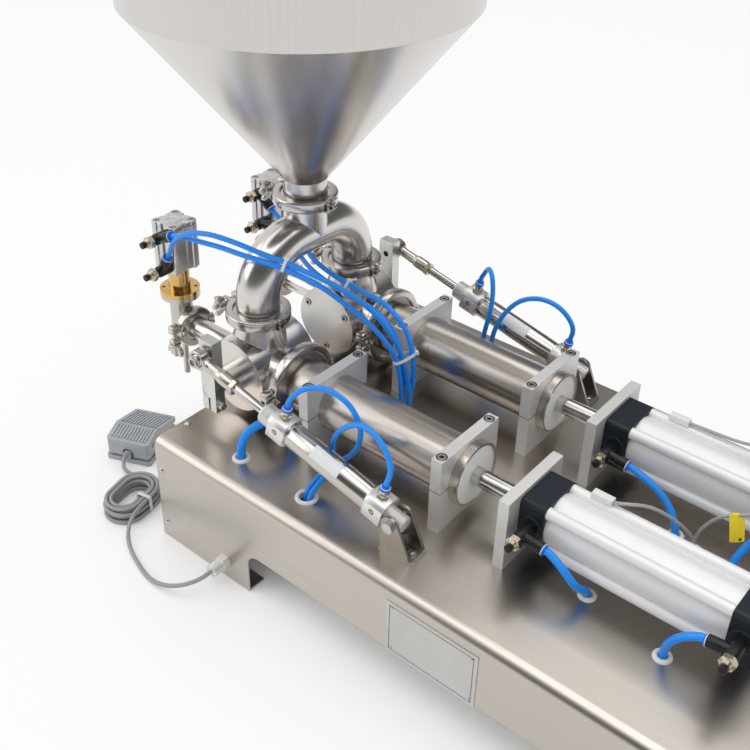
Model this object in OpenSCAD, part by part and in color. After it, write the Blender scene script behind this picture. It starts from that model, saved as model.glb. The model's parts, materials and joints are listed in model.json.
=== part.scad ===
// Two-head bench piston filler: a shared hopper feeds two fill cylinders through rotary valves.
// Millimetres. +X runs from the nozzles to the drive cylinders, -Y is the pedal lead's side, +Z is up.

/* [Base] */
// Length of the base box
base_l = 760; // [740:5:1000]
// Width of the base box
base_w = 445; // [430:5:600]
// Height of the base box
base_h = 145; // [130:1:200]
// Thickness of the base sheet
sheet_t = 2; // [1.5:0.5:3]
// Outside radius of the two long bends
bend_r = 12; // [6:1:20]
// Length of each foot beside the arch
foot_l = 147; // [130:1:200]
// Height of the arch between the feet
arch_h = 60; // [40:1:80]
// Corner radius of the arch
arch_r = 18; // [5:1:25]
// Width of the lip turned in under each foot
lip_w = 22; // [10:1:40]
// Depth of the flange around each end panel
flange_w = 16; // [12:1:30]
// Radius of a panel screw's button head
button_r = 4; // [3:0.5:5]

/* [Heads] */
// Distance between the two heads
head_gap = 164; // [150:1:190]
// Height of the cylinder axis above the base
axis_h = 52; // [52:1:80]
// Distance of the valve axis from the base's nozzle end
valve_x = 35; // [20:1:60]

/* [Fill cylinder] */
// Outside diameter of the fill tube
fill_od = 65; // [60:1:70]
// Wall of the fill tube
fill_wall = 2.5; // [1.5:0.5:4]
// Diameter of the flange where the tube meets the valve
fill_flange_od = 85; // [80:1:90]
// Distance from the valve axis to that flange joint
fill_port_l = 65; // [60:1:80]
// Distance from the valve axis to the first cradle
cradle_x = 110; // [100:1:120]
// Distance between the cradles
cradle_pitch = 181; // [170:1:220]
// Width of a cradle block
cradle_w = 100; // [96:1:120]
// Thickness of a cradle block
cradle_t = 13; // [12:1:20]
// Height of a cradle cap above the axis
cradle_top = 41; // [40:1:50]
// Outside diameter of the collar at the tube's open end
collar_od = 73; // [72:1:80]
// Length of the collar
collar_l = 10; // [8:1:15]
// Wall of the collar
collar_wall = 3; // [2:0.5:3]
// Length of the guide bush inside the tube
bush_l = 20; // [10:1:30]
// Diameter of the piston rods
rod_d = 20; // [12:1:24]
// Length of the fill piston
piston_l = 28; // [20:1:35]
// Travel of the pistons
stroke = 150; // [80:5:150]
// Space left behind each piston at the end of its travel
stop_gap = 4; // [2:1:8]
// Length of the rod from the fill piston to the rod joint
fill_rod_l = 80; // [70:1:90]

/* [Drive cylinder] */
// Distance from the valve axis to the drive plate
plate_x = 372; // [370:1:420]
// Thickness of the drive plate
plate_t = 12; // [10:1:16]
// Width of the drive plate
plate_w = 98; // [80:1:120]
// Height of the drive plate above the axis
plate_top = 33.5; // [30:0.5:45]
// Width of a square cylinder cap
cap_w = 58; // [56:1:64]
// Length of a cylinder cap
cap_l = 28; // [24:1:36]
// Edge radius of a cylinder cap
cap_r = 5; // [2:0.5:6]
// Bore of the drive cylinder
drive_bore = 50; // [40:1:50]
// Wall of the drive barrel between its lobes
drive_wall = 2.5; // [2:0.5:4]
// Radius of a corner lobe of the barrel
lobe_r = 6.5; // [6:0.5:8]
// Length of the drive piston
drive_piston_l = 30; // [20:1:40]
// Length of a reed switch
switch_l = 22; // [15:1:30]
// Distance of the reed switch from the front cap
switch_x = 22; // [10:1:60]

/* [Rotary valve] */
// Outside radius of the valve drum
drum_r = 45; // [44:1:50]
// Width of the valve drum
drum_w = 84; // [80:1:90]
// Wall at the drum's shaft end
drum_wall = 8; // [5:1:12]
// Radius of the rotary plug
plug_r = 25; // [22:1:27]
// Diameter of the plug shaft
shaft_d = 18; // [12:1:20]
// Radius of the passages through the drum
port_r = 12; // [8:1:13]
// Radius of the shaft boss
boss_r = 18; // [14:1:22]
// Length of the shaft boss
boss_l = 16; // [8:1:24]
// Thickness of the valve cover
cover_t = 6; // [5:0.5:8]
// Height of the manifold joint above the valve axis
neck_l = 69; // [66:1:80]
// Distance of the nozzle joint from the valve axis
out_l = 117; // [105:1:130]
// Outside diameter of the outlet pipe
out_od = 28; // [24:1:30]

/* [Manifold] */
// Outside diameter of the product pipe
pipe_od = 51; // [48:1:52]
// Wall of the product pipe
pipe_wall = 1.75; // [1:0.25:3]
// Bend radius of the elbows
elbow_r = 60; // [50:1:70]
// Straight leg under each elbow
leg_l = 14; // [14:1:40]
// Height of the hopper joint above the manifold's run
stub_l = 45; // [40:1:70]

/* [Hopper] */
// Outside diameter of the hopper
hopper_od = 380; // [300:5:440]
// Half angle of the hopper cone
cone_a = 39; // [30:1:50]
// Height of the upright hopper wall
wall_h = 125; // [60:5:200]
// Length of the hopper neck above its joint
hopper_neck = 24; // [20:1:40]
// Thickness of the hopper sheet
hopper_t = 1.5; // [1:0.25:3]
// Radius of the rolled rim
rim_r = 4; // [3:0.5:6]

/* [Pipe clamps] */
// Diameter of a product pipe flange
ferrule_od = 64; // [62:1:68]
// Diameter of a nozzle joint flange
out_ferrule_od = 40; // [38:1:44]
// Thickness of a flange
ferrule_t = 3; // [2:0.5:3]
// Thickness of a gasket
gasket_t = 2; // [1:0.5:2]
// Depth of the clamp jaws outside the flange
jaw_t = 6; // [5:0.5:8]
// Width of the clamps on the pipes and cylinders
clamp_w = 13; // [12:1:20]
// Width of the clamps at the nozzles
out_clamp_w = 12; // [11:0.5:12]
// Reach of the ears that the clamp bolt passes
ear_l = 12; // [10:1:15]
// Radius of the clamp bolt
clamp_bolt_r = 3; // [2:0.5:4]

/* [Valve drive] */
// Width of the lever
lever_w = 22; // [20:1:30]
// Thickness of the lever
lever_t = 14; // [10:1:16]
// Distance of the lever from the head's middle plane
lever_y = 69; // [62:1:72]
// Distance between the lever's shaft and its pin
crank = 50; // [45:1:55]
// Distance from the head's middle plane to the air cylinder's axis
air_y = 92; // [92:1:100]
// Distance from the valve axis to the clevis pin
clevis_x = 284; // [275:1:300]
// Height of the clevis pin above the base
clevis_h = 36; // [34:1:45]
// Thickness of the clevis cheeks
cheek_t = 3; // [2:0.5:4]
// Bore of the air cylinder
air_bore = 25; // [20:1:25]
// Wall of the air cylinder's tube
air_wall = 1; // [1:0.25:1.5]
// Width of the air cylinder's end blocks
air_block_w = 28; // [28:0.5:30]
// Length of an end block
air_block_l = 24; // [20:1:28]
// Radius of the threaded noses
nose_r = 10.2; // [9:0.1:11]
// Length of the tube between the end blocks
air_tube_l = 113; // [105:1:113]
// Diameter of the air cylinder's rod
air_rod_d = 10; // [8:1:12]
// Radius of the pins in the lever linkage
pin_r = 4; // [3:0.5:5]

/* [Nozzle] */
// Distance from the valve axis to the nozzle axis
nozzle_x = 138; // [138:1:145]
// Outside diameter of the nozzle tube
nozzle_od = 28.5; // [26:0.5:28.5]
// Height of the nozzle flange joint above the valve axis
nozzle_top = 43; // [40:1:60]
// Depth of the nozzle tube below the valve axis
nozzle_low = 14; // [12:1:20]
// Depth of the outlet tip below the valve axis
tip_low = 79; // [60:1:90]
// Outside radius of the outlet tube
tip_r = 4; // [3:0.5:5]
// Bore radius of the outlet tube
tip_bore = 2.5; // [1.5:0.5:2.5]
// Diameter of the nozzle flanges
nozzle_flange_od = 49; // [46:1:54]
// Length of the brass column
column_l = 30; // [20:1:45]
// Width of the compact cylinder
compact_w = 40; // [36:1:44]
// Height of the compact cylinder
compact_h = 62; // [56:1:70]
// Radius of the shut-off needle
needle_r = 3; // [2.5:0.5:4]

/* [Foot pedal] */
// Length of the pedal
pedal_l = 86; // [80:1:120]
// Width of the pedal
pedal_w = 63; // [56:1:80]
// Height of the pedal
pedal_h = 40; // [38:1:55]
// Angle of the pedal on the floor
pedal_yaw = 23; // [0:1:40]
// Distance of the pedal from the base's nozzle end
pedal_out = 153.32; // [150:0.01:200]
// Distance of the pedal from the machine's middle plane
pedal_side = 128; // [100:1:130]
// Travel of the treadle in degrees
pedal_travel = 5; // [3:0.5:6]
// Ribs across the treadle
rib_count = 12; // [6:1:16]

/* [Hoses and leads] */
// Diameter of the thin air hoses
hose_d = 6; // [4:0.5:6]
// Diameter of the drive cylinder hoses
drive_hose_d = 8; // [6:0.5:8]
// Diameter of the supply hose
supply_d = 10; // [8:0.5:10]
// Diameter of the sensor leads
lead_d = 3.5; // [3:0.1:3.5]
// Diameter of the pedal cord
cord_d = 5; // [4:0.5:5]
// Loops in each layer of the cord's hank
hank_loops = 2; // [1:1:2]
// Layers in the cord's hank
hank_layers = 4; // [2:2:4]

/* [Hidden] */
NEAR = -1;
FAR = 1;
SIDES = [NEAR, FAR];
round_fn = 48;
hex_fn = 6;
over = 1;
fit = 0.05;
run = 0.05;
clear = 0.3;

axis_z = base_h + axis_h;
bend_in = sheet_t / 2;
floor_z = -axis_h;
fill_r = fill_od / 2;
fill_bore_r = fill_r - fill_wall;
rod_r = rod_d / 2;
collar_x = cradle_x + cradle_pitch + cradle_t;
collar_end = collar_x + collar_l;
bush_x = collar_x + 1;
bush_set = 1.5;
piston_end = bush_x - bush_l - stop_gap;
rod_joint_x = piston_end + fill_rod_l;
cradle_screw_y = (fill_r + cradle_w / 2) / 2;
cradle_split = 0.6;
screw_r = 3;
head_r = 4.6;
head_h = 5;
sink = 5.5;
shank_l = 45;

cap_x = plate_x + plate_t;
barrel_x = cap_x + cap_l;
barrel_l = stroke + drive_piston_l + 2 * stop_gap;
rear_x = barrel_x + barrel_l;
drive_r = drive_bore / 2;
lobe_at = cap_w / 2 - 0.5 - lobe_r;
spigot_r = 16;
spigot_l = 6;
rod_bush_r = rod_r + 3;
port_x = cap_x + cap_l / 2;
rear_port_x = rear_x + cap_l / 2;
drive_piston_end = rear_x - stop_gap;
drive_shank = cap_l + 14;
switch_at = barrel_x + switch_x;
switch_z = lobe_at + lobe_r;
switch_w = lobe_r + 2;
switch_h = 6.5;

pipe_r = pipe_od / 2;
pipe_bore = pipe_r - pipe_wall;
out_r = out_od / 2;
out_bore = out_r - 4;
half_gasket = gasket_t / 2;
leg_z = axis_z + neck_l;
run_z = leg_z + leg_l + elbow_r;
hopper_z = run_z + stub_l;
half_gap = head_gap / 2;
cover_screw_r = (plug_r + drum_r) / 2;

clevis_z = floor_z + clevis_h;
air_tilt = atan2(crank - clevis_z, clevis_x);
air_reach = norm([clevis_x, crank - clevis_z]);
cheek_r = pin_r + 7;
rear_block_s = cheek_r + 2 * clear;
tube_s = rear_block_s + air_block_l;
front_block_s = tube_s + air_tube_l;
front_nose_s = front_block_s + air_block_l;
front_nose_l = 16;
air_piston_l = 15;
rod_end_s = air_reach - 58;
air_ports = [rear_block_s + air_block_l / 2, front_block_s + air_block_l / 2];
push_hex_r = 7;
push_hex_h = 6;
push_r = 5;
push_h = 11;

// A speed control fitting: thread, body, hex, needle and the arm that takes the hose
valve_body_l = 26;
valve_hex_l = 6;
valve_knob_l = 8;
valve_r = 7;
valve_thread_r = 5;
valve_thread_l = 6;
valve_arm_y = 14;
valve_arm_r = 6.5;
valve_arm_l = 26;

compact_z = nozzle_top + 6 + column_l;
compact_ports = [compact_h - 8, 11];
compact_port_x = 12;
compact_arms = [[-25, -60], [35, -10]];
function compact_arm(s, k) = compact_arms[s == NEAR ? 0 : 1][k];
drive_arm = 8;

pedal_r = 4;
pedal_wall = 2.5;
tray_t = 6;
treadle_w = pedal_w - 3;
treadle_l = pedal_l - 3;
skirt_z = 9;
pivot_y = -pedal_l / 2 + 16;
pivot_z = pedal_h - 16;
ring_h = 5;
treadle_top = pedal_h - 1.5;
treadle_rise = 6;
treadle_fall = 17;
ridge_y = -0.14 * treadle_l;
cord_z = 13;
cord_boss = 3;

inlet_y = 120;
inlet_z = 90;
inlet_r = 9;
inlet_out = 20;
inlet_bore = 5;

gland_x = 109;
gland_z = 23;
gland_l = 22;
gland_r = 8;

pedal_reach = (pedal_w / 2 - pedal_r) * cos(pedal_yaw) + (pedal_l / 2 - pedal_r) * sin(pedal_yaw) + pedal_r;
frame_x = (base_l + inlet_out - pedal_out - pedal_reach) / 2;

// Each joint of the product pipes: place, turn, flange radius and clamp width
pipe_joint = [ferrule_od / 2, clamp_w];
fill_joint = [fill_flange_od / 2, clamp_w];
out_joint = [out_ferrule_od / 2, out_clamp_w];
JOINTS = concat(
    [for (s = SIDES) [[valve_x, s * half_gap, leg_z], [0, 0, 0], pipe_joint]],
    [[[valve_x, 0, hopper_z], [0, 0, 0], pipe_joint]],
    [for (s = SIDES) [[valve_x + fill_port_l, s * half_gap, axis_z], [90, 0, 90], fill_joint]],
    [for (s = SIDES) [[valve_x - out_l, s * half_gap, axis_z], [90, 0, 90], out_joint]]
);

// Where the hoses pass through the top of the base: place, hole radius and the grommet's bore radius
hose_room = 0.6;
pair_bore = hose_d + 3;
centre_bore = 2 * hose_d + 1;
lead_bore = lead_d + 1.5;
rubber_t = 1;
supply_bore = supply_d / 2 + hose_room;
drive_bore_r = drive_hose_d / 2 + hose_room;
HOLES = [
    [100, -180, supply_bore], [126, -122, supply_bore], [200, -180, pair_bore], [200, 180, pair_bore],
    [190, 0, centre_bore], [500, -104, drive_bore_r], [527, 28, drive_bore_r], [592, 10, drive_bore_r],
    [590, -124, drive_bore_r], [551, 20, lead_bore]
];

// A point on a head, given from the valve axis with y outwards
function on_head(s, p) = [valve_x + p[0], s * (half_gap + p[1]), axis_z + p[2]];

// A point on the air cylinder, given along its axis and above it
function on_air(s, along, up) = on_head(s, [
    clevis_x - along * cos(air_tilt) + up * sin(air_tilt),
    air_y,
    clevis_z + along * sin(air_tilt) + up * cos(air_tilt)
]);

// The mouth of a speed control fitting whose thread starts at p
function mouth(p, arm, l) = p + [l * cos(arm), -valve_arm_y, -l * sin(arm)];
straight = 8;
function start(p, arm) = [mouth(p, arm, valve_arm_l), mouth(p, arm, valve_arm_l + straight)];

air_mouth = air_block_w / 2 + push_hex_h + push_h + clear;
function air_start(s, k) = [on_air(s, air_ports[k], air_mouth), on_air(s, air_ports[k], air_mouth + straight)];
function compact_port(s, k) = [
    valve_x - nozzle_x + compact_port_x,
    s * half_gap - compact_w / 2,
    axis_z + compact_z + compact_ports[k]
];
function drive_port(s, x) = [valve_x + x, s * half_gap - cap_w / 2, axis_z];

function switch_end(s) = [
    valve_x + switch_at + switch_l,
    s * half_gap + lobe_at,
    axis_z + switch_z + switch_h / 2
];
pedal_exit = [
    (pedal_l / 2 + cord_boss) * sin(pedal_yaw) - pedal_out,
    -(pedal_l / 2 + cord_boss) * cos(pedal_yaw) - pedal_side,
    cord_z
];

// Routes of the hoses, from their fittings into the base
NEAR_FRONT = concat(air_start(NEAR, 1), [
    [178, -172, 267], [192, -167, 279], [213, -160, 283], [236, -154, 273], [248, -150, 250],
    [245, -147, 222], [230, -145, 196], [214, -146, 180], [203, -156, 166], [198, -169, 156],
    [196, -177, 146], [196, -178, 132]
]);
NEAR_REAR = concat(air_start(NEAR, 0), [
    [308, -172, 235], [301, -169, 250], [284, -166, 263], [262, -163, 265], [241, -161, 251],
    [223, -158, 230], [215, -155, 207], [213, -152, 187], [210, -160, 169], [206, -174, 157],
    [204, -182, 146], [204, -182, 132]
]);
FAR_FRONT = concat(air_start(FAR, 1), [
    [178, 172, 266], [186, 165, 277], [197, 156, 276], [204, 150, 262], [206, 147, 240],
    [203, 146, 216], [198, 148, 193], [195, 156, 174], [195, 168, 160], [196, 177, 148], [196, 178, 132]
]);
FAR_REAR = concat(air_start(FAR, 0), [
    [308, 172, 235], [302, 168, 250], [288, 163, 264], [266, 158, 268], [242, 153, 258],
    [224, 149, 234], [213, 148, 206], [208, 152, 183], [206, 164, 166], [204, 178, 154],
    [204, 182, 144], [204, 182, 132]
]);
NEAR_UPPER = concat(start(compact_port(NEAR, 0), compact_arm(NEAR, 0)), [
    [-36, -117, 350], [-13, -117, 353], [15, -115, 356], [42, -112, 356], [68, -104, 354],
    [90, -93, 348], [107, -83, 340], [124, -73, 331], [142, -58, 312], [159, -44, 292],
    [174, -30, 269], [184, -20, 246], [188, -12, 222], [190, -8, 190], [190, -6, 158],
    [190, -6, 132]
]);
NEAR_LOWER = concat(start(compact_port(NEAR, 1), compact_arm(NEAR, 1)), [
    [-67, -119, 327], [-58, -123, 338], [-46, -125, 350], [-30, -126, 361], [-10, -125, 369],
    [12, -121, 372], [42, -113, 369], [66, -103, 362], [88, -91, 355], [106, -81, 347],
    [130, -68, 337], [149, -53, 322], [164, -39, 305], [177, -25, 280], [186, -13, 252],
    [192, -6, 225], [196, -1, 190], [196, 1, 158], [196, 1, 132]
]);
FAR_UPPER = concat(start(compact_port(FAR, 0), compact_arm(FAR, 0)), [
    [-46, 46, 303], [-24, 39, 299], [6, 25, 299], [40, 12, 294], [80, 6, 290],
    [120, 2, 290], [155, 2, 286], [182, 3, 268], [194, 6, 234], [195, 8, 194],
    [190, 7, 158], [190, 7, 132]
]);
FAR_LOWER = concat(start(compact_port(FAR, 1), compact_arm(FAR, 1)), [
    [-40, 45, 292], [-20, 37, 288], [6, 19, 288], [42, 4, 286], [80, -1, 282],
    [120, -5, 281], [152, -5, 276], [174, -4, 258], [185, -2, 228], [187, 0, 192],
    [184, 0, 158], [184, 0, 132]
]);
SUPPLY = [
    [100, -180, 132], [100, -180, 152], [100, -179, 164], [101, -174, 174], [106, -167, 182], [112, -159, 188],
    [118, -150, 190], [123, -141, 187], [126, -133, 179], [127, -126, 167], [126, -122, 153], [126, -122, 132]
];
NEAR_DRIVE = concat(start(drive_port(NEAR, port_x), drive_arm), [
    [484, -127, 183], [494, -126, 172], [499, -118, 162], [500, -109, 156], [500, -104, 149], [500, -104, 130]
]);
FAR_DRIVE = concat(start(drive_port(FAR, port_x), drive_arm), [
    [492, 38, 184], [509, 36, 174], [521, 31, 162], [527, 28, 150], [527, 28, 130]
]);
FAR_BACK = concat(start(drive_port(FAR, rear_port_x), 180 - drive_arm), [
    [603, 35, 184], [597, 26, 173], [593, 15, 162], [592, 10, 151], [592, 10, 130]
]);
NEAR_BACK = concat(start(drive_port(NEAR, rear_port_x), 180 - drive_arm), [
    [603, -127, 184], [595, -127, 172], [591, -125, 161], [590, -124, 150], [590, -124, 130]
]);
NEAR_LEAD = concat([[553, 19, 130], [553, 19, 150], [550, 12, 168], [543, 0, 186], [535, -18, 206], [526, -34, 222],
    [516, -48, 232], [504, -57, 232]], [switch_end(NEAR)]
);
FAR_LEAD = concat([[549, 22, 130], [549, 22, 150], [551, 20, 168], [557, 19, 184], [566, 19, 199], [578, 20, 210],
    [592, 23, 216], [606, 32, 222], [612, 47, 232], [606, 64, 242], [588, 82, 246], [563, 97, 241], [543, 104, 232]],
    [switch_end(FAR)]
);
PEDAL_END = concat([pedal_exit], [
    [-132, -178, 12], [-124, -185, 7], [-110, -182, 3], [-93, -172, 3], [-77, -169, 3], [-62, -172, 3],
    [-52, -181, 3], [-47, -193, 3]
]);
GLAND_END = [
    [-38, -232, 19], [-33, -246, 15], [-22, -260, 9], [-4, -271, 4], [22, -280, 3], [46, -286, 3],
    [68, -286, 7], [88, -281, 14], [102, -271, 20], [108, -259, 22], [109, -252, 23]
];

// The hank lies on the floor, its long side turned towards the gland
hank_pitch = cord_d + 0.8;
hank_r = 15 + hank_loops * hank_pitch;
hank_run = 12;
hank_rings = 24;
hank_sides = 6;
hank_at = [-69, -216];
hank_ex = [0.975, 0.222];
hank_ey = [0.222, -0.975];

// A point of an oval loop: f is the share of the loop, r its end radius
function oval(f, r) =
    let (turn = 180 / PI, half = PI * r, s = f * (4 * hank_run + 2 * half))
    s < hank_run ? [r, s]
    : s < hank_run + half ? [r * cos((s - hank_run) / r * turn), hank_run + r * sin((s - hank_run) / r * turn)]
    : s < 3 * hank_run + half ? [-r, 2 * hank_run + half - s]
    : s < 3 * hank_run + 2 * half ? let (a = (s - 3 * hank_run) / r * turn)
        [r * cos(a), -hank_run + r * sin(a)]
    : [r, s - 4 * hank_run - 2 * half];

// Loops run in and out again, layer by layer, and climb where the spiral turns
function fold(t) = let (m = t % (2 * hank_loops)) m < hank_loops ? m : 2 * hank_loops - m;
function climb(t) =
    let (k = round(t / hank_loops), e = (t - k * hank_loops) / 0.5)
    k <= 0 || k >= hank_layers ? (k <= 0 ? 0 : hank_layers - 1)
    : k - 1 + min(1, max(0, e + 0.5));
function hank_point(t) =
    let (p = oval(t - floor(t), hank_r - hank_pitch * fold(t)))
    [
        hank_at[0] + p[0] * hank_ex[0] + p[1] * hank_ey[0],
        hank_at[1] + p[0] * hank_ex[1] + p[1] * hank_ey[1],
        cord_d / 2 + fit + hank_pitch * climb(t)
    ];
hank_turns = hank_loops * hank_layers;
HANK = [for (i = [0 : hank_turns * hank_rings]) hank_point(i / hank_rings)];
hank_gap = min([
    for (i = [0 : len(HANK) - 1 - hank_rings / 2])
        for (j = [i + hank_rings / 2 : len(HANK) - 1])
            norm(HANK[i] - HANK[j])
]) - cord_d;

// Smooth route through hand-chosen points
function bend(a, b, c, d, t) =
    0.5 * (2 * b + (c - a) * t + (2 * a - 5 * b + 4 * c - d) * t * t + (3 * b - a - 3 * c + d) * t * t * t);
function smooth(p, n) = concat(
    [for (i = [0 : len(p) - 2]) for (j = [0 : n - 1])
        bend(p[max(i - 1, 0)], p[i], p[i + 1], p[min(i + 2, len(p) - 1)], j / n)],
    [p[len(p) - 1]]
);
function unit(v) = v / norm(v);
function tangent(p, i) = unit(p[min(i + 1, len(p) - 1)] - p[max(i - 1, 0)]);
function square_to(v, t) = unit(v - (v * t) * t);
function sides_of(p) = [
    for (i = 0, v = square_to([0.31, 0.83, 0.46], tangent(p, 0)); i < len(p);
        i = i + 1, v = square_to(v, tangent(p, min(i, len(p) - 1)))) v
];

// Round tube along a path, closed at both ends
module sweep(p, r, n) {
    v = sides_of(p);
    rings = len(p);
    points = [
        for (i = [0 : rings - 1])
            let (w = cross(tangent(p, i), v[i]))
            for (k = [0 : n - 1])
                p[i] + r * (cos(360 * k / n) * v[i] + sin(360 * k / n) * w)
    ];
    skin = [
        for (i = [0 : rings - 2]) for (k = [0 : n - 1])
            let (a = i * n + k, b = i * n + (k + 1) % n)
            each [[a, a + n, b], [b, a + n, b + n]]
    ];
    first = [for (k = [1 : n - 2]) [0, k, k + 1]];
    last = [for (k = [1 : n - 2]) [(rings - 1) * n, (rings - 1) * n + k + 1, (rings - 1) * n + k]];
    polyhedron(points, concat(skin, first, last), convexity = 10);
}

module hose(p, d) sweep(smooth(p, 2), d / 2, 8);

// Round bars along each axis
module bar_x(r, a, b) translate([a, 0, 0]) rotate([0, 90, 0]) cylinder(r = r, h = b - a, $fn = round_fn);
module bar_y(r, a, b) translate([0, a, 0]) rotate([-90, 0, 0]) cylinder(r = r, h = b - a, $fn = round_fn);
module bar_z(r, a, b) translate([0, 0, a]) cylinder(r = r, h = b - a, $fn = round_fn);
module hex_y(r, a, b) translate([0, a, 0]) rotate([-90, 0, 0]) cylinder(r = r, h = b - a, $fn = hex_fn);
module hex_z(r, a, b) translate([0, 0, a]) cylinder(r = r, h = b - a, $fn = hex_fn);
module box(lo, hi) translate(lo) cube(hi - lo);

// One head, from its valve axis, with +Y outwards
module head(s) translate([valve_x, s * half_gap, axis_z]) mirror([0, s < 0 ? 1 : 0, 0]) children();

// One air cylinder, from its clevis pin, with +X towards the lever
module air_line(s)
    head(s) translate([clevis_x, air_y, clevis_z]) rotate([0, air_tilt, 0]) rotate([0, 0, 180]) children();

// Socket screw with its head's top at the origin, pointing down
module socket_screw(l) {
    difference() {
        bar_z(head_r, -head_h, 0);
        hex_z(head_r * 0.6, -head_h * 0.6, over);
    }
    bar_z(screw_r - fit, -head_h - l, -head_h);
}

// The hole that takes a socket screw
module screw_hole(l) {
    bar_z(head_r + 0.4, -sink, over);
    bar_z(screw_r, -sink - l - over, -sink + over);
}

// Square with round corners, centred
module round_square(x, y, r) {
    square([x - 2 * r, y], center = true);
    square([x, y - 2 * r], center = true);
    for (i = [-1, 1], j = [-1, 1])
        translate([i * (x / 2 - r), j * (y / 2 - r)]) circle(r, $fn = round_fn);
}

// Cross section of the base, standing on z = 0
module base_section(w, h, r) {
    translate([-w / 2, 0]) square([w, h - r]);
    translate([-w / 2 + r, 0]) square([w - 2 * r, h]);
    for (i = [-1, 1])
        translate([i * (w / 2 - r), h - r]) circle(r, $fn = round_fn);
}

module along_base(a, b) translate([a, 0, 0]) rotate([90, 0, 90]) linear_extrude(b - a) children();

module base_shell() color([0.62, 0.59, 0.55]) {
    difference() {
        along_base(0, base_l) difference() {
            base_section(base_w, base_h, bend_r);
            translate([0, -over]) base_section(base_w - 2 * sheet_t, base_h - sheet_t + over, bend_r - sheet_t);
        }
        translate([foot_l, -base_w, -over]) cube([base_l - 2 * foot_l, 2 * base_w, arch_h - arch_r + over]);
        translate([foot_l + arch_r, -base_w, 0]) cube([base_l - 2 * foot_l - 2 * arch_r, 2 * base_w, arch_h]);
        for (x = [foot_l + arch_r, base_l - foot_l - arch_r])
            translate([x, 0, arch_h - arch_r]) bar_y(arch_r, -base_w, base_w);
        for (h = HOLES)
            translate([h[0], h[1], 0]) bar_z(h[2] + rubber_t + fit, base_h - sheet_t - over, base_h + over);
        translate([gland_x, 0, gland_z]) bar_y(gland_r - 2, -base_w, 0);
    }
    for (x = [0, base_l - foot_l], s = SIDES) {
        inner = base_w / 2 - sheet_t - lip_w;
        outer = base_w / 2 - bend_in;
        box([x, s > 0 ? inner : -outer, 0], [x + foot_l, s > 0 ? outer : -inner, sheet_t]);
    }
}

module end_panel() {
    w = base_w - 2 * sheet_t - 2 * fit;
    h = base_h - sheet_t - fit;
    r = bend_r - sheet_t;
    difference() {
        along_base(over, flange_w) base_section(w, h, r);
        along_base(over + sheet_t, flange_w + over)
            translate([0, -over]) base_section(w - 2 * sheet_t, h - sheet_t + over, r - sheet_t);
        translate([-over, -base_w / 2, -over]) cube([flange_w + 3 * over, base_w, sheet_t + clear + over]);
    }
}

module end_panels() color([0.6, 0.57, 0.53]) {
    end_panel();
    difference() {
        translate([base_l, 0, 0]) mirror([1, 0, 0]) end_panel();
        translate([0, inlet_y, inlet_z]) bar_x(inlet_r, base_l - flange_w, base_l);
    }
}

module button_head() {
    rotate_extrude($fn = round_fn) difference() {
        translate([0, button_r * 0.55 - button_r * 1.2]) circle(button_r * 1.2, $fn = round_fn);
        translate([-2 * button_r, -4 * button_r]) square([4 * button_r, 4 * button_r]);
        translate([-4 * button_r, -button_r]) square([4 * button_r, 3 * button_r]);
    }
}

module panel_screws() color([0.75, 0.73, 0.7]) {
    inset = flange_w / 2;
    for (x = [inset, base_l - inset]) {
        for (s = SIDES, z = [gland_z, base_h * 0.7])
            translate([x, s * base_w / 2, z]) rotate([-s * 90, 0, 0]) button_head();
        for (y = [-0.4, 0.4])
            translate([x, y * base_w, base_h]) button_head();
    }
}

module hose_grommets() color([0.93, 0.92, 0.88]) {
    for (h = HOLES) translate([h[0], h[1], base_h]) difference() {
        union() {
            bar_z(h[2] + 5, 0, 2.5);
            bar_z(h[2] + rubber_t, -sheet_t, over);
        }
        bar_z(h[2], -sheet_t - over, 4);
    }
}

data_plate_l = 110;
data_plate_h = 70;
data_plate_t = 1;
data_plate_x = 200;
data_plate_top = 17;

module blank_plate() color([0.82, 0.81, 0.79])
    translate([
        foot_l + data_plate_x, -base_w / 2 - data_plate_t, base_h - data_plate_top - data_plate_h
    ]) cube([data_plate_l, data_plate_t, data_plate_h]);

// The solenoid valves hang in a row from a rail under the base top
rail_x = 240;
rail_l = 180;
rail_w = 90;
rail_h = 24;
coil_count = 5;
coil_l = 28;
coil_w = 120;
coil_h = 36;
coil_edge = 6;
coil_pitch = (rail_l - 2 * coil_edge - coil_l) / (coil_count - 1);

module solenoid_block() color([0.25, 0.26, 0.28]) translate([rail_x, 0, base_h - sheet_t]) {
    box([0, -rail_w / 2, -rail_h], [rail_l, rail_w / 2, 0]);
    for (i = [0 : coil_count - 1]) translate([coil_edge + coil_pitch * i, 0, -rail_h])
        box([0, -coil_w / 2, -coil_h], [coil_l, coil_w / 2, 0]);
}

// The control unit hangs in the corner behind the drive cylinders
control_l = 110;
control_w = 130;
control_h = 55;
control_end = 40;
control_side = 32.5;

module control_unit() color([0.3, 0.3, 0.32])
    translate([base_l - control_end - control_l, control_side - base_w / 2, base_h - sheet_t - control_h])
        cube([control_l, control_w, control_h]);

module air_inlet() color([0.72, 0.65, 0.45]) {
    translate([base_l, inlet_y, inlet_z]) difference() {
        union() {
            bar_x(inlet_r - fit, -flange_w, inlet_out);
            rotate([0, 90, 0]) cylinder(r = inlet_r + 4, h = 7, $fn = hex_fn);
        }
        bar_x(inlet_bore, -flange_w - over, inlet_out + over);
    }
}

module cradle_pair() for (x = [cradle_x, cradle_x + cradle_pitch]) translate([x, 0, 0]) children();

module cradle_bases() color([0.74, 0.74, 0.73]) for (s = SIDES) head(s) cradle_pair() difference() {
    box([0, -cradle_w / 2, floor_z], [cradle_t, cradle_w / 2, -cradle_split / 2]);
    bar_x(fill_r + fit, -over, cradle_t + over);
    for (y = [-cradle_screw_y, cradle_screw_y])
        translate([cradle_t / 2, y, cradle_top]) screw_hole(shank_l);
}

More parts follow.
